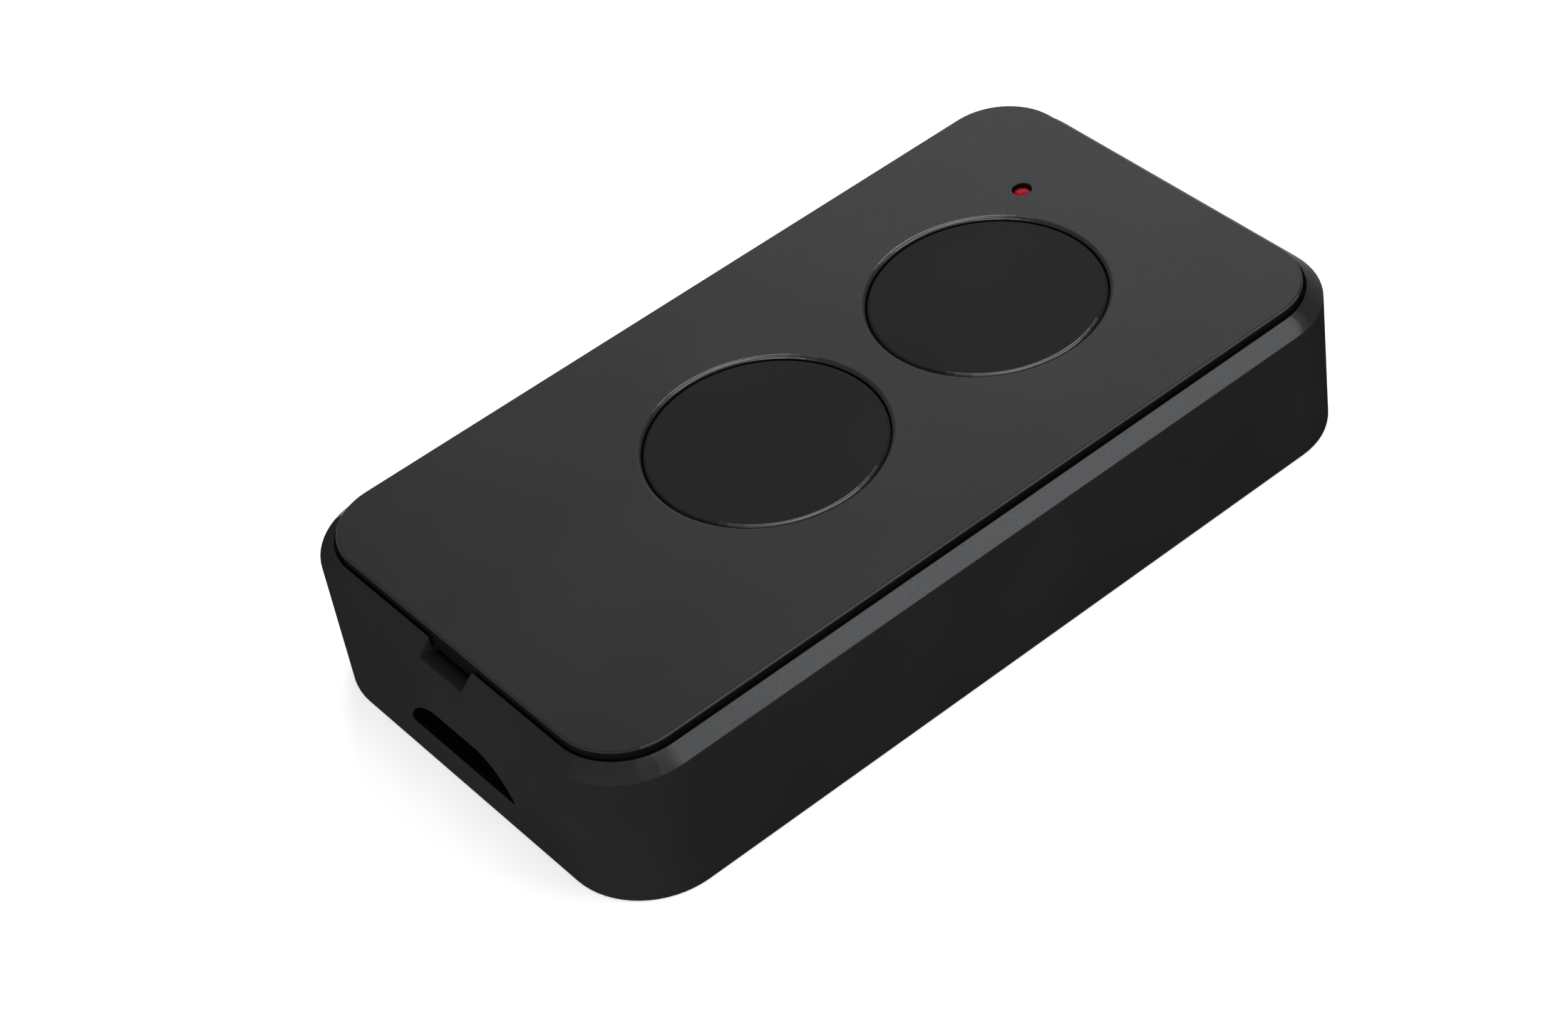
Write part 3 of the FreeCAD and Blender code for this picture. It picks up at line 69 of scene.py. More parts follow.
scene.collection.objects.link(camera)
scene.camera = camera


# The table: pale laminate under the remote. It is white to the eye and in reflections, keeps the
# remote's soft shadow, and is left dark straight under the remote, where only the ring duct shows it.
def linear(hex_colour):
    """The linear colour of an sRGB hex value."""
    channels = [int(hex_colour[place:place + 2], 16) / 255 for place in (1, 3, 5)]
    return [c / 12.92 if c <= 0.04045 else ((c + 0.055) / 1.055) ** 2.4 for c in channels] + [1.0]


def add_node(tree, kind, values=None, links=None, **settings):
    """Adds a node with its settings, the values of its sockets, and what its sockets are fed by."""
    node = tree.nodes.new(kind)
    for name, value in settings.items():
        setattr(node, name, value)
    for socket, value in (values or {}).items():
        node.inputs[socket].default_value = value
    for socket, source in (links or {}).items():
        tree.links.new(source, node.inputs[socket])
    return node


def shown_rays(tree):
    """1 for the rays that see the backdrop: those of the camera, of gloss and of clear plastic."""
    rays = add_node(tree, "ShaderNodeLightPath")
    seen = add_node(
        tree, "ShaderNodeMath", operation="MAXIMUM",
        links={0: rays.outputs["Is Camera Ray"], 1: rays.outputs["Is Glossy Ray"]},
    )
    return add_node(
        tree, "ShaderNodeMath", operation="MAXIMUM",
        links={0: seen.outputs[0], 1: rays.outputs["Is Transmission Ray"]},
    ).outputs[0]


TABLE_SIDE = 2.4
TABLE_DROP = 0.00005
TABLE_LIFT = 0.62
UNDER_REMOTE = (0.0145, 0.0285, 1.0)
WHITE = linear("#ffffff")
table_mesh = bmesh.new()
bmesh.ops.create_grid(table_mesh, x_segments=4, y_segments=4, size=TABLE_SIDE / 2)
table_data = bpy.data.meshes.new("table")
table_mesh.to_mesh(table_data)
table = bpy.data.objects.new("table", table_data)
table.location.z = -TABLE_DROP
scene.collection.objects.link(table)
table_laminate = bpy.data.materials.new("table_laminate")
table_laminate.use_nodes = True
tree = table_laminate.node_tree
tree.nodes.clear()
laminate = add_node(tree, "ShaderNodeBsdfDiffuse", values={"Color": linear("#c8c8c8")})
place = add_node(tree, "ShaderNodeTexCoord").outputs["Object"]
either_side = add_node(tree, "ShaderNodeVectorMath", operation="ABSOLUTE", links={0: place})
share = add_node(
    tree, "ShaderNodeVectorMath", operation="DIVIDE",
    values={1: UNDER_REMOTE}, links={0: either_side.outputs[0]},
)
shares = add_node(tree, "ShaderNodeSeparateXYZ", links={0: share.outputs[0]})
larger = add_node(
    tree, "ShaderNodeMath", operation="MAXIMUM",
    links={0: shares.outputs[0], 1: shares.outputs[1]},
)
strength = add_node(
    tree, "ShaderNodeMapRange", links={"Value": larger.outputs[0]},
    values={"From Min": 0.97, "From Max": 1.0, "To Min": 0.0, "To Max": TABLE_LIFT},
)
lift = add_node(
    tree, "ShaderNodeEmission", values={"Color": WHITE}, links={"Strength": strength.outputs[0]},
)
lifted = add_node(tree, "ShaderNodeAddShader", links={0: laminate.outputs[0], 1: lift.outputs[0]})
surface = add_node(
    tree, "ShaderNodeMixShader",
    links={0: shown_rays(tree), 1: laminate.outputs[0], 2: lifted.outputs[0]},
)
add_node(tree, "ShaderNodeOutputMaterial", links={"Surface": surface.outputs[0]})
table_data.materials.append(table_laminate)


# The studio: a white room with four softboxes. The one overhead and the low one in front give
# the light, the bevel of the long wall mirrors the right one, and the cover the left one.
def softbox(name, direction, width, height, radiance, colour="#ffffff", distance=0.7):
    """An area light that faces the remote, with the brightness that a mirror would show."""
    data = bpy.data.lights.new(name, "AREA")
    data.color = linear(colour)[:3]
    data.shape = "RECTANGLE"
    data.size = width
    data.size_y = height
    data.energy = math.pi * radiance * width * height
    light = bpy.data.objects.new(name, data)
    towards = Vector(direction).normalized()
    facing = towards.to_track_quat("Z", "Y").to_matrix().to_4x4()
    light.matrix_world = Matrix.Translation(towards * distance) @ facing
    scene.collection.objects.link(light)


softbox("top_softbox", (0.25, 0.05, 0.95), 0.36, 0.36, 4.6)
softbox("front_softbox", (0.34, -0.92, 0.20), 0.90, 0.36, 5.3)
softbox("right_softbox", (0.600, 0.455, 0.660), 0.31, 0.22, 5.45, "#f4f9ff")
softbox("left_softbox", (-0.57, 0.60, 0.56), 0.35, 0.35, 8.3)

room = bpy.data.worlds.new("white_room")
room.use_nodes = True
tree = room.node_tree
tree.nodes.clear()
fill = add_node(tree, "ShaderNodeBackground", values={"Color": WHITE, "Strength": 0.15})
backdrop = add_node(tree, "ShaderNodeBackground", values={"Color": WHITE, "Strength": 1.0})
air = add_node(
    tree, "ShaderNodeMixShader",
    links={0: shown_rays(tree), 1: fill.outputs[0], 2: backdrop.outputs[0]},
)
add_node(tree, "ShaderNodeOutputWorld", links={"Surface": air.outputs[0]})
scene.world = room


# The lower shell: a near-black tub of ABS from an injection mould, with walls, bevelled rim, pry
# notch and key-ring slot in one piece. Its sharp corners are as round as a cut steel mould leaves
# them. The mould's fine spark-eroded grain makes it satin.
MILLIMETRE = 0.001
MERGE = 0.0001 * MILLIMETRE
FLAT = math.radians(0.8)
CREASE = math.radians(28)


def new_piece(name, mesh, body, slot, *materials):
    """Makes a piece of a finished mesh, gives it its materials, and sets it on its body."""
    data = bpy.data.meshes.new(name)
    for material in materials:
        data.materials.append(material)
    mesh.to_mesh(data)
    mesh.free()
    if "custom_normal" in data.attributes:
        data.attributes.remove(data.attributes["custom_normal"])
    data.polygons.foreach_set("use_smooth", [True] * len(data.polygons))
    piece = bpy.data.objects.new(name, data)
    scene.collection.objects.link(piece)
    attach(piece, body)
    return piece


def moulded_piece(name, node, body, slot, width, rounded, finish_of, *materials):
    """Copies a CAD node's mesh, rounds its edges by their share, and gives each face its finish."""
    mesh = bmesh.new()
    mesh.from_mesh(nodes[node].data)
    bmesh.ops.remove_doubles(mesh, verts=mesh.verts, dist=MERGE)
    bmesh.ops.dissolve_limit(mesh, angle_limit=FLAT, verts=mesh.verts, edges=mesh.edges)
    weight = mesh.edges.layers.float.new("bevel_weight_edge")
    for edge in mesh.edges:
        edge.smooth = True
        if edge.calc_face_angle(0) > CREASE:
            edge[weight] = rounded((edge.verts[0].co + edge.verts[1].co) / 2 / MILLIMETRE)
            edge.smooth = edge[weight] > 0
    piece = new_piece(name, mesh, body, slot, *materials)
    rounding = piece.modifiers.new("mould_corners", "BEVEL")
    rounding.limit_method = "WEIGHT"
    rounding.width = width * MILLIMETRE
    rounding.segments = 3
    rounding.use_clamp_overlap = False
    mesh = bmesh.new()
    mesh.from_object(piece, bpy.context.evaluated_depsgraph_get())
    bmesh.ops.dissolve_degenerate(mesh, dist=MERGE, edges=mesh.edges)
    for face in mesh.faces:
        face.material_index = finish_of(face.calc_center_median() / MILLIMETRE, face.normal)
    mesh.to_mesh(piece.data)
    mesh.free()
    piece.modifiers.clear()
    flat_faces = piece.modifiers.new("flat_faces", "WEIGHTED_NORMAL")
    flat_faces.keep_sharp = True
    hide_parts(node)
    return piece


def new_material(name):
    """An empty node material with its output, its shader and the object's own coordinates."""
    material = bpy.data.materials.new(name)
    material.use_nodes = True
    tree = material.node_tree
    tree.nodes.clear()
    shader = add_node(tree, "ShaderNodeBsdfPrincipled")
    add_node(tree, "ShaderNodeOutputMaterial", links={"Surface": shader.outputs[0]})
    place = add_node(tree, "ShaderNodeTexCoord").outputs["Object"]
    return material, tree, shader, place


def grained(name, dark, light, grain, depth, roughness, gloss, clouds=9.0, metallic=0.0):
    """A moulded, cast or etched finish: an even grain of pits, and faint clouds of colour."""
    material, tree, shader, place = new_material(name)
    patches = add_node(
        tree, "ShaderNodeTexNoise", links={"Vector": place},
        values={"Scale": 1 / (clouds * MILLIMETRE), "Detail": 2.0, "Roughness": 0.4},
    )
    pits = add_node(
        tree, "ShaderNodeTexNoise", links={"Vector": place},
        values={"Scale": 1 / (grain * MILLIMETRE), "Detail": 3.0, "Roughness": 0.55},
    )
    blend = add_node(
        tree, "ShaderNodeMath", operation="MULTIPLY_ADD", values={1: 0.25},
        links={0: pits.outputs["Fac"], 2: patches.outputs["Fac"]},
    )
    colour = add_node(tree, "ShaderNodeValToRGB", links={"Fac": blend.outputs[0]})
    colour.color_ramp.elements[0].position = 0.35
    colour.color_ramp.elements[0].color = linear(dark)
    colour.color_ramp.elements[1].position = 0.9
    colour.color_ramp.elements[1].color = linear(light)
    satin = add_node(
        tree, "ShaderNodeMapRange", links={"Value": pits.outputs["Fac"]},
        values={"From Min": 0.3, "From Max": 0.7, "To Min": roughness - 0.04, "To Max": roughness + 0.04},
    )
    relief = add_node(
        tree, "ShaderNodeBump", links={"Height": pits.outputs["Fac"]},
        values={"Strength": 0.35, "Distance": depth * MILLIMETRE},
    )
    tree.links.new(colour.outputs["Color"], shader.inputs["Base Color"])
    tree.links.new(satin.outputs["Result"], shader.inputs["Roughness"])
    tree.links.new(relief.outputs["Normal"], shader.inputs["Normal"])
    shader.inputs["IOR"].default_value = 1.53
    shader.inputs["Specular IOR Level"].default_value = gloss
    shader.inputs["Metallic"].default_value = metallic
    return material


# The shell's sizes in millimetres, and the places of its finishes in its list of materials.
RIM_HEIGHT = 1.0
SHELL_WALL = 1.7
NOTCH_REACH = 2.5
NOTCH_BACK = -28.0
DUCT_REACH = 5.3
DUCT_BACK = -25.7
DUCT_TOP = 5.1
SKIN = 0.05
SHELL_GRAIN, DUCT_PAINTED_SHADE, RIM_BRIGHTEST_HIGHLIGHT, RIM_FAINTEST_HIGHLIGHT = 0, 1, 2, 6
shell_low, shell_high = [Vector(corner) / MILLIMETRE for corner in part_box("lower_shell")]


def outside_of_shell(middle):
    """Rounds the shell's outside edges, less at the bevel and least at the rim's thin top."""
    if middle.z > shell_high.z - RIM_HEIGHT:
        beside_notch = abs(middle.x) < NOTCH_REACH and middle.y < NOTCH_BACK
        at_top = middle.z > shell_high.z - 0.02
        return 0.15 if at_top or beside_notch else 0.45
    in_long_wall = shell_high.x - abs(middle.x) < SHELL_WALL
    in_end_wall = shell_high.y - abs(middle.y) < SHELL_WALL
    return 1.0 if in_long_wall or in_end_wall or middle.z < 0.5 else 0.0


def finish_of_shell(middle, normal):
    """Grained outside, painted shade in the ring duct, and a painted highlight of gloss on the bevel's lit
    side.
    """
    # Painted shade: the duct's inside gets a near-black matt material, dark as if no light reached it.
    behind_end_wall = shell_low.y + SKIN < middle.y < DUCT_BACK
    if abs(middle.x) < DUCT_REACH and behind_end_wall and SKIN < middle.z < DUCT_TOP:
        return DUCT_PAINTED_SHADE
    if middle.z < shell_high.z - RIM_HEIGHT or not 0.45 < normal.z < 0.9:
        return SHELL_GRAIN
    # Painted highlight: the bevel's gloss is greatest where it faces the lit right side and steps down
    # round its corners.
    turn = math.degrees(math.atan2(abs(normal.y), abs(normal.x)))
    step, last_turn = (15, 75) if normal.x > 0 > normal.y else (6, 24)
    if turn > last_turn:
        return SHELL_GRAIN if normal.y < 0 else RIM_FAINTEST_HIGHLIGHT
    return min(RIM_BRIGHTEST_HIGHLIGHT + int(turn / step), RIM_FAINTEST_HIGHLIGHT)


moulded_piece(
    "shell_moulding", "lower_shell", "shell", "shell_plastic",
    0.10, outside_of_shell, finish_of_shell,
    grained("shell_abs", "#212122", "#262627", 0.12, 0.006, 0.50, 0.0),
    # Painted shade: a near-black matt copy of the shell's plastic for the duct's inside.
    grained("duct_painted_shade_abs", "#060607", "#08080a", 0.12, 0.001, 0.40, 0.01),
    # Painted highlight: copies of the shell's plastic whose gloss steps down from the lit side, a shade
    # darker where glossier.
    grained("rim_lit_highlight_abs", "#1c1c1d", "#202021", 0.12, 0.001, 0.28, 0.22),
    grained("rim_turn_highlight_abs", "#1e1e1f", "#222223", 0.12, 0.001, 0.30, 0.12),
    grained("rim_corner_highlight_abs", "#1f1f20", "#232324", 0.12, 0.002, 0.34, 0.06),
    grained("rim_end_highlight_abs", "#202021", "#242425", 0.12, 0.003, 0.40, 0.035),
    grained("rim_back_highlight_abs", "#202021", "#242425", 0.12, 0.003, 0.42, 0.025),
)


# The battery clip and contact: two strips stamped and bent from tin-plated spring bronze. The clip
# runs under the cell and is soldered to the board by its feet, and the contact bows against the cap.
def sheet_metal(name, dark, light, roughness, grain):
    """Rolled sheet: metal with fine streaks along the rolling direction."""
    material, tree, shader, place = new_material(name)
    along = add_node(
        tree, "ShaderNodeMapping", links={"Vector": place}, values={"Scale": (0.06, 1.0, 1.0)},
    )
    streaks = add_node(
        tree, "ShaderNodeTexNoise", links={"Vector": along.outputs["Vector"]},
        values={"Scale": 1 / (grain * MILLIMETRE), "Detail": 4.0, "Roughness": 0.6},
    )
    colour = add_node(tree, "ShaderNodeValToRGB", links={"Fac": streaks.outputs["Fac"]})
    colour.color_ramp.elements[0].position = 0.3
    colour.color_ramp.elements[0].color = linear(dark)
    colour.color_ramp.elements[1].position = 0.7
    colour.color_ramp.elements[1].color = linear(light)
    worn = add_node(
        tree, "ShaderNodeMapRange", links={"Value": streaks.outputs["Fac"]},
        values={"From Min": 0.3, "From Max": 0.7, "To Min": roughness - 0.06, "To Max": roughness + 0.08},
    )
    relief = add_node(
        tree, "ShaderNodeBump", links={"Height": streaks.outputs["Fac"]},
        values={"Strength": 0.25, "Distance": 0.004 * MILLIMETRE},
    )
    tree.links.new(colour.outputs["Color"], shader.inputs["Base Color"])
    tree.links.new(worn.outputs["Result"], shader.inputs["Roughness"])
    tree.links.new(relief.outputs["Normal"], shader.inputs["Normal"])
    shader.inputs["Metallic"].default_value = 1.0
    return material


def rounded_piece(name, node, slot, width, material, body="shell"):
    """Copies a CAD node with all its sharp edges rounded alike, in one finish."""
    return moulded_piece(
        name, node, body, slot, width, lambda middle: 1.0, lambda middle, normal: 0, material,
    )


def dress(material, *names):
    """Gives carried-over CAD nodes their finish."""
    for name in names:
        nodes[name].material_slots[0].material = material


tinned_bronze = sheet_metal("tinned_bronze", "#b5b0a4", "#d0ccc2", 0.30, 0.20)
rounded_piece("clip_strap", "battery_clip", "spring_steel", 0.12, tinned_bronze)
rounded_piece("contact_leaf", "battery_contact", "spring_steel", 0.07, tinned_bronze)


# The coin cell: a can and cap pressed from nickel-plated steel, with turned rings that the press
# leaves. A black ring of nylon between can and cap seals and insulates it.
def turned_piece(name, profile, centre, body, slot, material, steps=40):
    """Turns a closed outline of radii and heights, in millimetres, about an upright axis."""
    mesh = bmesh.new()
    rings = []
    for radius, height in profile:
        ring = []
        for step in range(steps if radius > 0 else 1):
            turn = 2 * math.pi * step / steps
            place = (centre[0] + radius * math.cos(turn), centre[1] + radius * math.sin(turn), height)
            ring.append(mesh.verts.new(Vector(place) * MILLIMETRE))
        rings.append(ring)
    for lower, upper in zip(rings, rings[1:] + rings[:1]):
        for step in range(steps):
            after = (step + 1) % steps
            corners = [
                lower[step % len(lower)], lower[after % len(lower)],
                upper[after % len(upper)], upper[step % len(upper)],
            ]
            unique = [corner for place, corner in enumerate(corners) if corner not in corners[:place]]
            if len(unique) > 2:
                mesh.faces.new(unique)
    bmesh.ops.recalc_face_normals(mesh, faces=mesh.faces)
    for edge in mesh.edges:
        edge.smooth = edge.calc_face_angle(0) < CREASE
    return new_piece(name, mesh, body, slot, material)


cell_low, cell_high = [Vector(corner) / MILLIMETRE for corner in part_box("coin_cell")]
cell_middle = (cell_low + cell_high) / 2
cell_nickel, tree, shader, place = new_material("cell_nickel")
centred = add_node(
    tree, "ShaderNodeMapping", links={"Vector": place},
    values={"Location": -cell_middle * MILLIMETRE},
)
rings = add_node(
    tree, "ShaderNodeTexWave", wave_type="RINGS", rings_direction="Z",
    links={"Vector": centred.outputs["Vector"]},
    values={"Scale": 0.05 / (0.35 * MILLIMETRE), "Distortion": 0.4, "Detail": 2.0},
)
colour = add_node(tree, "ShaderNodeValToRGB", links={"Fac": rings.outputs["Fac"]})
colour.color_ramp.elements[0].color = linear("#b9b8b4")
colour.color_ramp.elements[1].color = linear("#cfcecb")
worn = add_node(
    tree, "ShaderNodeMapRange", links={"Value": rings.outputs["Fac"]},
    values={"To Min": 0.22, "To Max": 0.34},
)
relief = add_node(
    tree, "ShaderNodeBump", links={"Height": rings.outputs["Fac"]},
    values={"Strength": 0.2, "Distance": 0.003 * MILLIMETRE},
)
tree.links.new(colour.outputs["Color"], shader.inputs["Base Color"])
tree.links.new(worn.outputs["Result"], shader.inputs["Roughness"])
tree.links.new(relief.outputs["Normal"], shader.inputs["Normal"])
shader.inputs["Metallic"].default_value = 1.0
rounded_piece("cell_can_and_cap", "coin_cell", "cell_steel", 0.12, cell_nickel)
cell_nylon = grained("cell_nylon", "#0e0e10", "#141416", 0.10, 0.002, 0.45, 0.3)
gasket_inside = 8.82
shoulder = cell_high.z - 0.3
turned_piece(
    "cell_gasket",
    [
        (gasket_inside, shoulder), (gasket_inside + 0.43, shoulder),
        (gasket_inside + 0.38, shoulder + 0.07), (gasket_inside + 0.18, shoulder + 0.12),
        (gasket_inside, shoulder + 0.12),
    ],
    cell_middle, "shell", "switch_plastic", cell_nylon, 64,
)


# The circuit board: 1 mm glass-fibre laminate under green solder mask. Its faces show the mask, its
# milled edges the bare yellowish resin, and the glass cloth's weave shows faintly through.
board_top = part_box("circuit_board")[1][2] / MILLIMETRE
board_mask, tree, shader, place = new_material("masked_laminate")
weave = add_node(
    tree, "ShaderNodeTexBrick", offset=0.5, links={"Vector": place},
    values={
        "Scale": 1 / (0.9 * MILLIMETRE), "Brick Width": 0.5, "Row Height": 0.5, "Mortar Size": 0.05,
        "Mortar Smooth": 1.0, "Mortar": linear("#0b4423"),
        "Color1": linear("#0d4a27"), "Color2": linear("#0f522b"),
    },
)
side = add_node(tree, "ShaderNodeTexCoord").outputs["Normal"]
facing = add_node(tree, "ShaderNodeSeparateXYZ", links={0: side})
upright = add_node(tree, "ShaderNodeMath", operation="ABSOLUTE", links={0: facing.outputs["Z"]})
on_face = add_node(
    tree, "ShaderNodeMath", operation="GREATER_THAN", values={1: 0.5}, links={0: upright.outputs[0]},
)
fibres = add_node(
    tree, "ShaderNodeTexNoise", links={"Vector": place},
    values={"Scale": 1 / (0.25 * MILLIMETRE), "Detail": 3.0},
)
cut_edge = add_node(tree, "ShaderNodeValToRGB", links={"Fac": fibres.outputs["Fac"]})
cut_edge.color_ramp.elements[0].color = linear("#5d5c34")
cut_edge.color_ramp.elements[1].color = linear("#8f8c58")
colour = add_node(
    tree, "ShaderNodeMix", data_type="RGBA",
    links={0: on_face.outputs[0], 6: cut_edge.outputs["Color"], 7: weave.outputs["Color"]},
)
relief = add_node(
    tree, "ShaderNodeBump", links={"Height": weave.outputs["Fac"]},
    values={"Strength": 0.15, "Distance": 0.004 * MILLIMETRE},
)
tree.links.new(colour.outputs[2], shader.inputs["Base Color"])
tree.links.new(relief.outputs["Normal"], shader.inputs["Normal"])
shader.inputs["Roughness"].default_value = 0.36
shader.inputs["IOR"].default_value = 1.52
shader.inputs["Specular IOR Level"].default_value = 0.3
dress(board_mask, "circuit_board")

# Copper tracks under the mask: they stand a hair proud of the board and look a lighter green. Each
# runs from one soldered foot to the next, with the corners cut at 45 degrees.
TRACK_WIDTH = 0.35
TRACK_RISE = 0.035
TRACK_ROOT = 0.01
TRACKS = [
    [
        (-4.3, -7.1), (-8.9, -7.1), (-10.2, -8.4), (-10.2, -22.0),
        (-9.4, -22.8), (-4.4, -22.8), (-3.81, -22.2), (-3.81, -21.3),
    ],
    [
        (-4.3, 11.4), (-8.4, 11.4), (-11.2, 8.6), (-11.2, -22.3),
        (-9.9, -23.6), (-3.2, -23.6), (-2.54, -22.9), (-2.54, -21.3),
    ],
    [(3.81, -15.5), (3.81, -13.0), (5.4, -11.4), (5.4, -8.2), (4.3, -7.1)],
    [(2.54, -15.5), (2.54, -12.2), (8.6, -6.1), (8.6, 10.0), (7.2, 11.4), (4.3, 11.4)],
    [(0.6, 26.2), (-2.1, 26.3)],
    [(-0.35, 23.0), (-0.35, 21.2), (-1.15, 20.4), (-2.1, 20.4)],
    [(1.55, 23.0), (1.55, 22.4), (2.6, 21.35), (4.2, 21.35), (4.9, 22.05), (4.9, 24.2), (5.5, 24.2)],
    [(9.1, 24.2), (9.9, 24.2), (10.3, 23.8), (10.3, 22.7)],
    [(10.3, 21.2), (10.3, 18.6), (11.0, 17.9), (11.0, 16.0)],
    [(11.0, 14.1), (11.0, 11.4), (12.9, 9.5)],
    [(-5.4, 22.5), (-4.4, 22.5), (-3.95, 22.05), (-3.95, 20.85), (-3.5, 20.4)],
    [(-9.1, 21.8), (-9.1, 17.6), (-7.4, 15.9), (-4.3, 15.9)],
    [(-6.3, 3.7), (-5.3, 2.7), (-5.3, -1.6), (-4.3, -2.6)],
    [(-6.3, 5.1), (-5.6, 5.8), (-5.6, 10.5), (-4.7, 11.4)],
    [(-7.7, 3.7), (-9.4, 3.7), (-9.4, -4.2)],
    [(7.7, 5.1), (8.6, 5.1)],
    [(6.3, 5.1), (5.4, 6.0), (5.4, 14.8), (4.3, 15.9)],
    [(5.4, -4.2), (5.4, -3.4), (4.6, -2.6), (4.2, -2.6)],
    [(-7.12, -20.5), (-7.12, -21.2), (-6.3, -22.0), (-1.9, -22.0), (-1.27, -21.4)],
    [(7.12, -20.5), (7.12, -21.2), (6.3, -22.0), (4.4, -22.0), (3.81, -21.4)],
    [(-7.12, -16.3), (-7.12, -14.8), (-5.9, -13.6), (-4.4, -13.6), (-3.81, -14.2), (-3.81, -15.5)],
    [(1.27, -15.5), (1.27, -12.9)],
    [(0.0, -15.5), (0.0, -11.6)],
    [(-1.27, -15.5), (-1.27, -10.3)],
    [(-2.54, -15.5), (-2.54, -9.2)],
]


def lay_track(mesh, route, low, high, width):
    """Adds a flat strip with mitred corners along a route."""
    points = [Vector(point).to_3d() for point in route]
    rows = []
    for place, point in enumerate(points):
        before = (point - points[max(place - 1, 0)]).normalized()
        after = (points[min(place + 1, len(points) - 1)] - point).normalized()
        along = (before + after).normalized()
        across = Vector((-along.y, along.x, 0))
        straight = after if after.length else before
        spread = width / 2 / max(0.5, abs(along.dot(straight)))
        sides = [point + across * spread, point - across * spread]
        rows.append([
            mesh.verts.new((side + Vector((0, 0, height))) * MILLIMETRE)
            for height in (low, high) for side in sides
        ])
    for first, second in zip(rows, rows[1:]):
        for a, b in ((0, 1), (1, 3), (3, 2), (2, 0)):
            mesh.faces.new((first[a], first[b], second[b], second[a]))
    for row in (rows[0], rows[-1]):
        mesh.faces.new((row[0], row[1], row[3], row[2]))


mesh = bmesh.new()
for route in TRACKS:
    lay_track(mesh, route, board_top - TRACK_ROOT, board_top + TRACK_RISE, TRACK_WIDTH)
bmesh.ops.recalc_face_normals(mesh, faces=mesh.faces)
for edge in mesh.edges:
    edge.smooth = edge.calc_face_angle(0) < CREASE
new_piece(
    "board_tracks", mesh, "shell", "board_laminate",
    grained("masked_copper", "#15653a", "#1a7243", 0.30, 0.003, 0.33, 0.5, 2.0),
)

# Plated holes where a track changes sides: each is a tinned ring round a drilled hole, just proud
# of the mask.
PLATED_HOLES = [(1.27, -12.9), (0.0, -11.6), (-1.27, -10.3), (-2.54, -9.2), (-9.4, -4.2), (12.9, 9.5)]
plated_tin = sheet_metal("plated_tin", "#bcbcba", "#d6d6d3", 0.28, 0.25)
for number, hole in enumerate(PLATED_HOLES, 1):
    turned_piece(
        f"plated_hole_{number}",
        [
            (0.17, board_top - 0.3), (0.17, board_top + 0.05), (0.38, board_top + 0.05),
            (0.42, board_top + 0.03), (0.42, board_top - 0.01), (0.25, board_top - 0.3),
        ],
        hole, "shell", "plated_sheet", plated_tin, 20,
    )


# The antenna: an open loop of copper foil, etched on the board round its lamp end and left bare.
# Air has dulled it in patches.
etched_copper = grained(
    "etched_copper", "#a5623a", "#c98657", 0.20, 0.002, 0.34, 0.5, clouds=1.6, metallic=1.0,
)
dress(etched_copper, "antenna_track")


# The push switches: a base of black glass-filled nylon with a snap dome of spring steel in its
# well, a plunger over it, and a tinned cover plate with folded ears, held by the base's four studs.
# In the real switch, the dome flattens as the plunger goes down.
switch_nylon = grained("switch_nylon", "#17171a", "#1e1e21", 0.09, 0.003, 0.48, 0.3)
dome_steel = sheet_metal("dome_steel", "#a9a6a0", "#c4c1ba", 0.24, 0.15)
DOME_SHEET = 0.08
DOME_RINGS = 6
STUD_PLACE = 2.25
plunger_nylon = grained("plunger_nylon", "#2a2a2c", "#323234", 0.07, 0.002, 0.42, 0.35)
dress(plated_tin, "switch_terminals_1", "switch_terminals_2")
for number in (1, 2):
    rounded_piece(
        f"switch_{number}_housing", f"switch_base_{number}", "switch_plastic", 0.06, switch_nylon,
    )
    rounded_piece(
        f"switch_{number}_plate", f"switch_cover_{number}", "plated_sheet", 0.05, plated_tin,
    )
    rounded_piece(
        f"switch_{number}_knob", f"switch_plunger_{number}", "plunger_plastic", 0.1, plunger_nylon,
        f"plunger_{number}",
    )
    dome_low, dome_high = [Vector(corner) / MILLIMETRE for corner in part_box(f"switch_dome_{number}")]
    middle = (dome_low + dome_high) / 2
    radius = (dome_high.x - dome_low.x) / 2
    height = dome_high.z - dome_low.z
    shares = [ring / DOME_RINGS for ring in range(DOME_RINGS + 1)]
    outside = [(radius * share, dome_low.z + height * (1 - share ** 2)) for share in shares]
    inside = [
        ((radius - 1.5 * DOME_SHEET) * share, dome_low.z + (height - DOME_SHEET) * (1 - share ** 2))
        for share in reversed(shares)
    ]
    dome = turned_piece(
        f"snap_dome_{number}", outside + inside, middle, "shell", "spring_steel", dome_steel, 36,
    )
    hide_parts(f"switch_dome_{number}")
    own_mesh(dome)
    plate_low, plate_high = [Vector(corner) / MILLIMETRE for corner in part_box(f"switch_cover_{number}")]
    middle = (plate_low + plate_high) / 2
    for corner, (side, end) in enumerate(((1, 1), (-1, 1), (-1, -1), (1, -1)), 1):
        turned_piece(
            f"switch_{number}_stud_{corner}",
            [
                (0, plate_high.z - 0.1), (0.42, plate_high.z - 0.1), (0.42, plate_high.z + 0.04),
                (0.36, plate_high.z + 0.1), (0.2, plate_high.z + 0.13), (0, plate_high.z + 0.14),
            ],
            (middle.x + side * STUD_PLACE, middle.y + end * STUD_PLACE),
            "shell", "switch_plastic", switch_nylon, 20,
        )


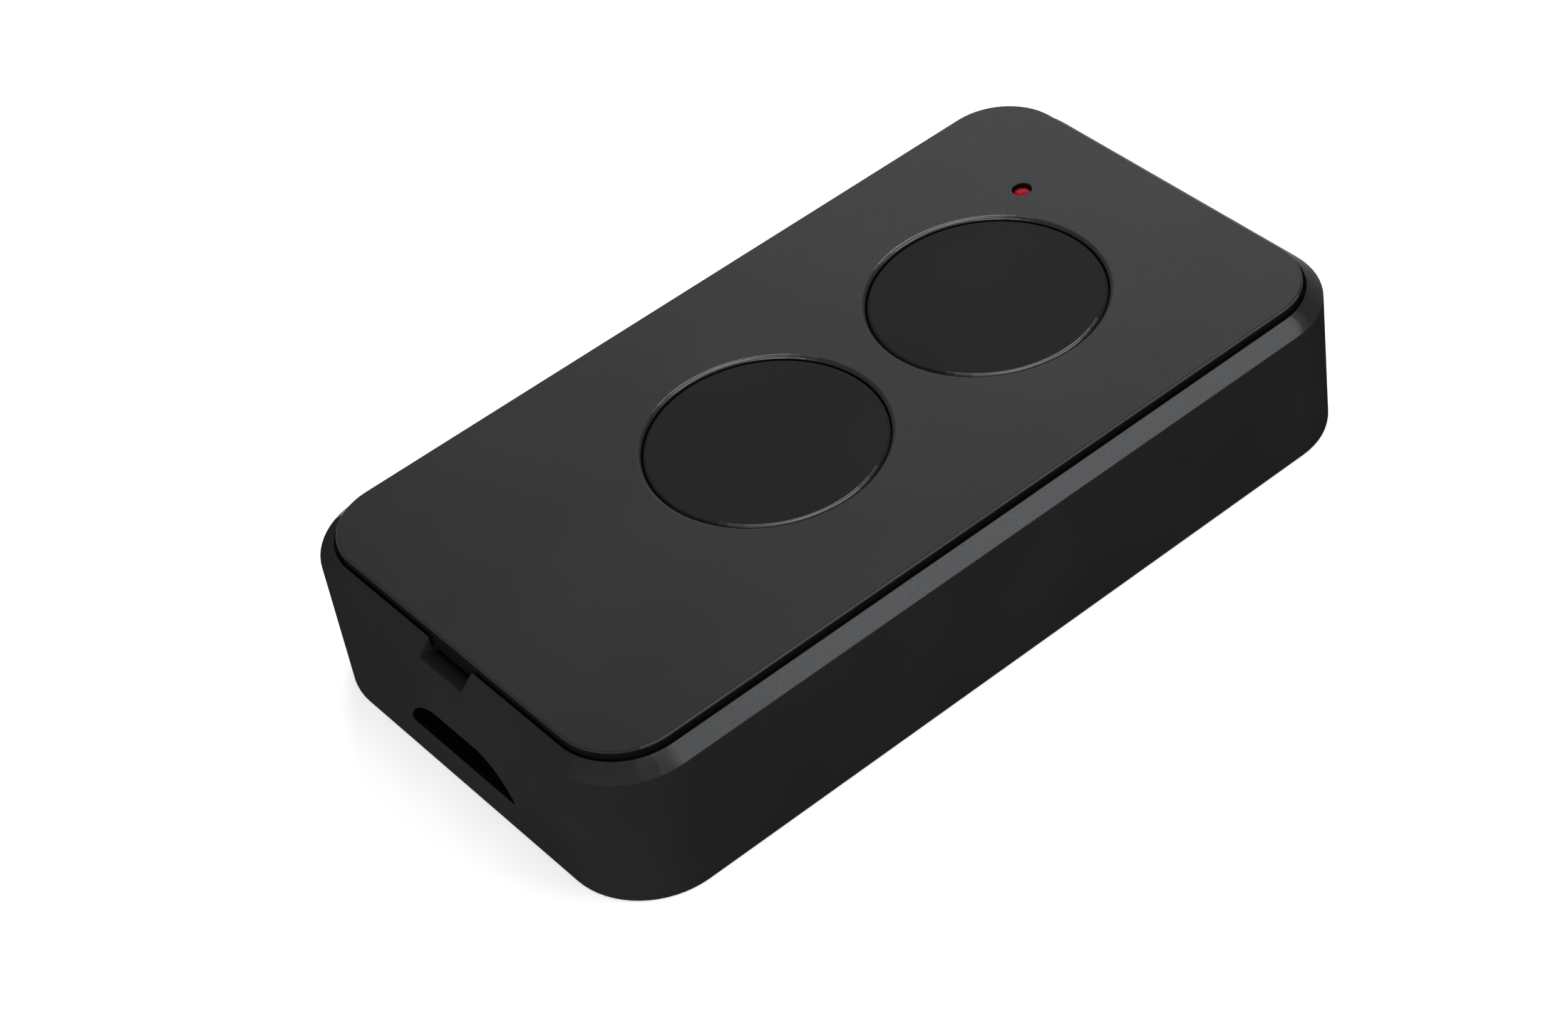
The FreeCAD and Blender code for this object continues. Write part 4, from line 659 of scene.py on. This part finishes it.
# The lamp chip: a red light-emitting diode in a block of clear resin, which is cast on a white
# moulded base.
led_resin, tree, shader, place = new_material("led_resin")
shader.inputs["Base Color"].default_value = linear("#d98f8a")
specks = add_node(
    tree, "ShaderNodeTexNoise", links={"Vector": place},
    values={"Scale": 1 / (0.3 * MILLIMETRE), "Detail": 2.0},
)
haze = add_node(
    tree, "ShaderNodeMapRange", links={"Value": specks.outputs["Fac"]},
    values={"To Min": 0.08, "To Max": 0.22},
)
tree.links.new(haze.outputs["Result"], shader.inputs["Roughness"])
shader.inputs["IOR"].default_value = 1.52
led_white = grained("led_white", "#dcdad4", "#e8e6e1", 0.10, 0.002, 0.42, 0.4)
rounded_piece("lamp_chip_base", "led_base", "white_plastic", 0.05, led_white)
rounded_piece("lamp_chip_lens", "led_lens", "red_clear_plastic", 0.12, led_resin)


# The encoder chip: epoxy moulded round a lead frame, with a matt top, and a printed dot that marks
# its first lead. Its tinned leads step down to the board.
chip_epoxy = grained("chip_epoxy", "#161617", "#1f1f20", 0.08, 0.004, 0.55, 0.35)
rounded_piece("encoder_body", "encoder_chip", "chip_resin", 0.06, chip_epoxy)
rounded_piece("transistor_body", "rf_transistor", "chip_resin", 0.05, chip_epoxy)
dress(plated_tin, "encoder_leads", "transistor_leads")
chip_low, chip_high = [Vector(corner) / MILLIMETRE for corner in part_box("encoder_chip")]
MARK_RADIUS = 0.38
MARK_INSET = 1.0
turned_piece(
    "first_lead_mark",
    [
        (0, chip_high.z - 0.02), (MARK_RADIUS, chip_high.z - 0.02), (MARK_RADIUS, chip_high.z + 0.004),
        (MARK_RADIUS - 0.08, chip_high.z + 0.01), (0, chip_high.z + 0.01),
    ],
    (chip_low.x + MARK_INSET, chip_low.y + MARK_INSET), "shell", "chip_resin",
    grained("print_ink", "#8d8d89", "#a0a09b", 0.06, 0.001, 0.6, 0.3), 28,
)


# The resonator: a quartz chip in a case of fired alumina, with a gold-plated lid that is
# seam-welded on.
fired_alumina = grained("fired_alumina", "#cfcabb", "#dedacd", 0.06, 0.003, 0.55, 0.4, 3.0)
lid_gold = sheet_metal("lid_gold", "#c9a04c", "#dcb967", 0.26, 0.18)
rounded_piece("resonator_case", "saw_resonator", "ceramic", 0.1, fired_alumina)
rounded_piece("resonator_cap", "resonator_lid", "gold_plate", 0.06, lid_gold)


# The chip components: resistors with a dark glaze, capacitors of tan ceramic and inductors of grey
# ferrite, each a small block with tinned ends.
resistor_glaze = grained("resistor_glaze", "#15151a", "#1d1d24", 0.07, 0.001, 0.25, 0.5)
capacitor_titanate = grained("capacitor_titanate", "#9a7a58", "#b0906c", 0.06, 0.003, 0.5, 0.4, 1.2)
inductor_ferrite = grained("inductor_ferrite", "#48484b", "#58585b", 0.05, 0.004, 0.6, 0.4, 1.5)
rounded_piece("resistor_bodies", "chip_resistors", "resistor_film", 0.03, resistor_glaze)
rounded_piece("capacitor_bodies", "chip_capacitors", "capacitor_ceramic", 0.05, capacitor_titanate)
rounded_piece("inductor_bodies", "chip_inductors", "ferrite", 0.05, inductor_ferrite)
rounded_piece("component_ends", "chip_ends", "plated_sheet", 0.05, plated_tin)


# Solder: a bright concave fillet climbs from the board round each soldered foot and metal end. It
# flowed there when it was molten, and set with a faint ripple.
# Each step of a fillet is how far it stands out in millimetres, and its share of the height.
FILLET_PROFILE = ((0.22, 0.0), (0.13, 0.08), (0.07, 0.3), (0.03, 0.65), (0.012, 1.0))


def feet_on_board(name, lift):
    """The rectangles, in millimetres, that a node's separate pieces cover just above the board."""
    mesh = bmesh.new()
    mesh.from_mesh(nodes[name].data)
    bmesh.ops.remove_doubles(mesh, verts=mesh.verts, dist=MERGE)
    left = set(mesh.verts)
    feet = []
    while left:
        group = [left.pop()]
        for vertex in group:
            for edge in vertex.link_edges:
                other = edge.other_vert(vertex)
                if other in left:
                    left.remove(other)
                    group.append(other)
        places = [vertex.co / MILLIMETRE for vertex in group]
        low = [place for place in places if place.z < board_top + lift]
        across = [place.x for place in low]
        along = [place.y for place in low]
        feet.append([min(across), max(across), min(along), max(along)])
    mesh.free()
    return sorted(feet)


def add_fillet(mesh, foot, height):
    """Adds one fillet: rounded rectangles that draw in towards the foot as they rise."""
    left, right, front, back = foot
    rings = []
    for spread, rise in FILLET_PROFILE:
        ring = []
        for x, y, quarter in ((right, back, 0), (left, back, 1), (left, front, 2), (right, front, 3)):
            for step in range(4):
                turn = (quarter + step / 3) * math.pi / 2
                swing = (x + spread * math.cos(turn), y + spread * math.sin(turn))
                ring.append(mesh.verts.new(Vector((*swing, board_top + rise * height)) * MILLIMETRE))
        rings.append(ring)
    for lower, upper in zip(rings, rings[1:]):
        for step in range(len(lower)):
            after = (step + 1) % len(lower)
            mesh.faces.new((lower[step], lower[after], upper[after], upper[step]))
    mesh.faces.new(rings[0])
    mesh.faces.new(rings[-1])


mesh = bmesh.new()
for name, lift, height in (
    ("switch_terminals_1", 0.21, 0.26), ("switch_terminals_2", 0.21, 0.26), ("encoder_leads", 0.21, 0.16),
    ("transistor_leads", 0.21, 0.16), ("chip_ends", 2.0, 0.28),
):
    for foot in feet_on_board(name, lift):
        add_fillet(mesh, foot, height)
bmesh.ops.recalc_face_normals(mesh, faces=mesh.faces)
for edge in mesh.edges:
    edge.smooth = edge.calc_face_angle(0) < math.radians(60)
solder, tree, shader, place = new_material("flowed_solder")
flow = add_node(
    tree, "ShaderNodeTexNoise", links={"Vector": place},
    values={"Scale": 1 / (0.35 * MILLIMETRE), "Detail": 2.0},
)
shine = add_node(
    tree, "ShaderNodeMapRange", links={"Value": flow.outputs["Fac"]},
    values={"To Min": 0.12, "To Max": 0.34},
)
ripple = add_node(
    tree, "ShaderNodeBump", links={"Height": flow.outputs["Fac"]},
    values={"Strength": 0.3, "Distance": 0.02 * MILLIMETRE},
)
tree.links.new(shine.outputs["Result"], shader.inputs["Roughness"])
tree.links.new(ripple.outputs["Normal"], shader.inputs["Normal"])
shader.inputs["Base Color"].default_value = linear("#cfd0cf")
shader.inputs["Metallic"].default_value = 1.0
new_piece("solder_fillets", mesh, "shell", "plated_sheet", solder)


# The top cover: a flat charcoal plate of ABS with two round holes and a lamp hole, which snaps
# into the rim. It is moulded in one piece with its skirt, hooks and collars. Its top has a coarser
# grain than the shell. Its upright sides have none and are painted near-black as painted shade,
# and its edges towards the lit side get extra gloss as a painted highlight.
# Angles are in degrees. The last line has the places of the finishes in the list of materials.
HOLE_REACH = 8.2
LIT_SIDE = -20
HIGHLIGHT_LIMITS = (44, 37, 29)
COVER_GRAIN, COVER_SIDE_PAINTED_SHADE, HIGHLIGHT_STRONG, HIGHLIGHT_MIDDLE, HIGHLIGHT_FAINT = 0, 1, 2, 3, 4
cover_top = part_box("top_cover")[1][2] / MILLIMETRE
hole_centres = [
    sum((Vector(corner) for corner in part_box(f"button_{number}")), Vector()) / 2 / MILLIMETRE
    for number in (1, 2)
]


def near_hole(middle):
    """Whether a place lies on the edge of a button hole."""
    away = min(math.hypot(middle.x, middle.y - centre.y) for centre in hole_centres)
    return away < HOLE_REACH


def highlight_of_edge(normal, finishes):
    """Painted highlight: one of four finishes, from plain to glossiest, by how far an edge turns to the lit
    side.
    """
    away = abs(math.degrees(math.atan2(normal.y, normal.x)) - LIT_SIDE)
    return finishes[sum(away < limit for limit in HIGHLIGHT_LIMITS)]


def finish_of_cover(middle, normal):
    """Grained top, painted shade on the sides, and painted highlights on lit hole edges and the right long
    side.
    """
    # Painted highlight: the hole edges' gloss follows how far they turn to the lit side.
    if near_hole(middle) and middle.z > cover_top - 0.4 and 0.05 < normal.z < 0.99:
        return highlight_of_edge(normal, (COVER_GRAIN, HIGHLIGHT_FAINT, HIGHLIGHT_MIDDLE, HIGHLIGHT_STRONG))
    if middle.z < cover_top - 1.0 or normal.z > 0.9:
        return COVER_GRAIN
    # Painted shade: upright sides and hole walls get a near-black material.
    if normal.z < 0.3:
        return COVER_SIDE_PAINTED_SHADE
    # Painted highlight: extra gloss along the right long side's top edge, which faces the lit side.
    along_right_side = normal.x > 0.5 and abs(normal.y) < 0.4 * normal.x
    return HIGHLIGHT_MIDDLE if along_right_side else COVER_GRAIN


def rounding_of_cover(middle):
    """Rounds the top edges of the button holes most, and the cover's other top edges less."""
    if middle.z < cover_top - 0.6:
        return 0.0
    return 0.8 if near_hole(middle) and middle.z > cover_top - 0.05 else 0.55


moulded_piece(
    "cover_moulding", "top_cover", "cover", "cover_plastic",
    0.12, rounding_of_cover, finish_of_cover,
    grained("cover_abs", "#232122", "#282627", 0.14, 0.006, 0.42, 0.035),
    # Painted shade: a near-black copy of the cover's plastic for its upright sides and hole walls.
    grained("cover_side_painted_shade_abs", "#0b0b0c", "#0e0e0f", 0.12, 0.001, 0.45, 0.01),
    # Painted highlight: copies of the cover's plastic with more gloss, for edges turned to the lit side.
    grained("hole_edge_highlight_abs", "#1e1e1f", "#222223", 0.12, 0.0005, 0.25, 0.5),
    grained("cover_edge_highlight_abs", "#1e1e1f", "#222223", 0.12, 0.001, 0.30, 0.30),
    grained("hole_turn_highlight_abs", "#202020", "#242424", 0.12, 0.0005, 0.32, 0.12),
)


# The light guide: a rod of clear red polycarbonate with a flange, which carries the lamp chip's
# light up into the cover's hole. Its tip is a low lens, polished, and shows deep red when dark.
guide_low, guide_high = [Vector(corner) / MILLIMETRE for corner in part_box("light_guide")]
guide_middle = (guide_low + guide_high) / 2
red_polycarbonate, tree, shader, place = new_material("red_polycarbonate")
depth = add_node(
    tree, "ShaderNodeTexNoise", links={"Vector": place},
    values={"Scale": 1 / (0.8 * MILLIMETRE), "Detail": 1.0},
)
colour = add_node(tree, "ShaderNodeValToRGB", links={"Fac": depth.outputs["Fac"]})
colour.color_ramp.elements[0].position = 0.3
colour.color_ramp.elements[0].color = linear("#7c0418")
colour.color_ramp.elements[1].position = 0.7
colour.color_ramp.elements[1].color = linear("#b00c2c")
polish = add_node(
    tree, "ShaderNodeMapRange", links={"Value": depth.outputs["Fac"]},
    values={"To Min": 0.25, "To Max": 0.35},
)
tree.links.new(colour.outputs["Color"], shader.inputs["Base Color"])
tree.links.new(polish.outputs["Result"], shader.inputs["Roughness"])
shader.inputs["IOR"].default_value = 1.58
shader.inputs["Specular IOR Level"].default_value = 0.015
TIP_RADIUS = 0.57
SHANK_RADIUS = 0.9
FLANGE_RADIUS = 1.3
FLANGE_LOW = 9.4
FLANGE_HIGH = 9.95
CORNER = 0.08
guide = turned_piece(
    "light_guide_rod",
    [
        (0, guide_low.z), (SHANK_RADIUS - CORNER, guide_low.z), (SHANK_RADIUS, guide_low.z + CORNER),
        (SHANK_RADIUS, FLANGE_LOW), (FLANGE_RADIUS - CORNER, FLANGE_LOW),
        (FLANGE_RADIUS, FLANGE_LOW + CORNER), (FLANGE_RADIUS, FLANGE_HIGH - CORNER),
        (FLANGE_RADIUS - CORNER, FLANGE_HIGH), (TIP_RADIUS, FLANGE_HIGH),
        (TIP_RADIUS, guide_high.z - 0.14), (0.52, guide_high.z - 0.08),
        (0.4, guide_high.z - 0.04), (0.22, guide_high.z - 0.01), (0, guide_high.z),
    ],
    guide_middle, "cover", "red_clear_plastic", red_polycarbonate, 36,
)
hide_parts("light_guide")


# The two push buttons: near-black ABS caps from a smoother mould, which gives them an even satin
# top. Each sits in the cover's hole with its flange below, and its stem stands over a switch.
CAP_EDGE = 0.3
button_abs = grained("button_abs", "#212020", "#242323", 0.08, 0.003, 0.55, 0.006)
# Painted highlight: copies of the cap's plastic with more gloss, for the top edge turned to the lit side.
button_highlight_edges = [
    grained(f"button_edge_highlight_{level}_abs", "#1e1e1e", "#212121", 0.08, 0.001, 0.28, gloss)
    for level, gloss in ((1, 0.12), (2, 0.3), (3, 0.5))
]
button_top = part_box("button_1")[1][2] / MILLIMETRE


def finish_of_button(middle, normal):
    """Even satin, and a painted highlight: extra gloss on the top edge where it turns to the lit side."""
    on_edge = middle.z > button_top - CAP_EDGE and 0.05 < normal.z < 0.99
    return highlight_of_edge(normal, (0, 1, 2, 3)) if on_edge else 0


for number in (1, 2):
    moulded_piece(
        f"button_cap_{number}", f"button_{number}", f"button_{number}", "button_plastic",
        0.09, lambda middle: float(middle.z > button_top - CAP_EDGE), finish_of_button,
        button_abs, *button_highlight_edges,
    )
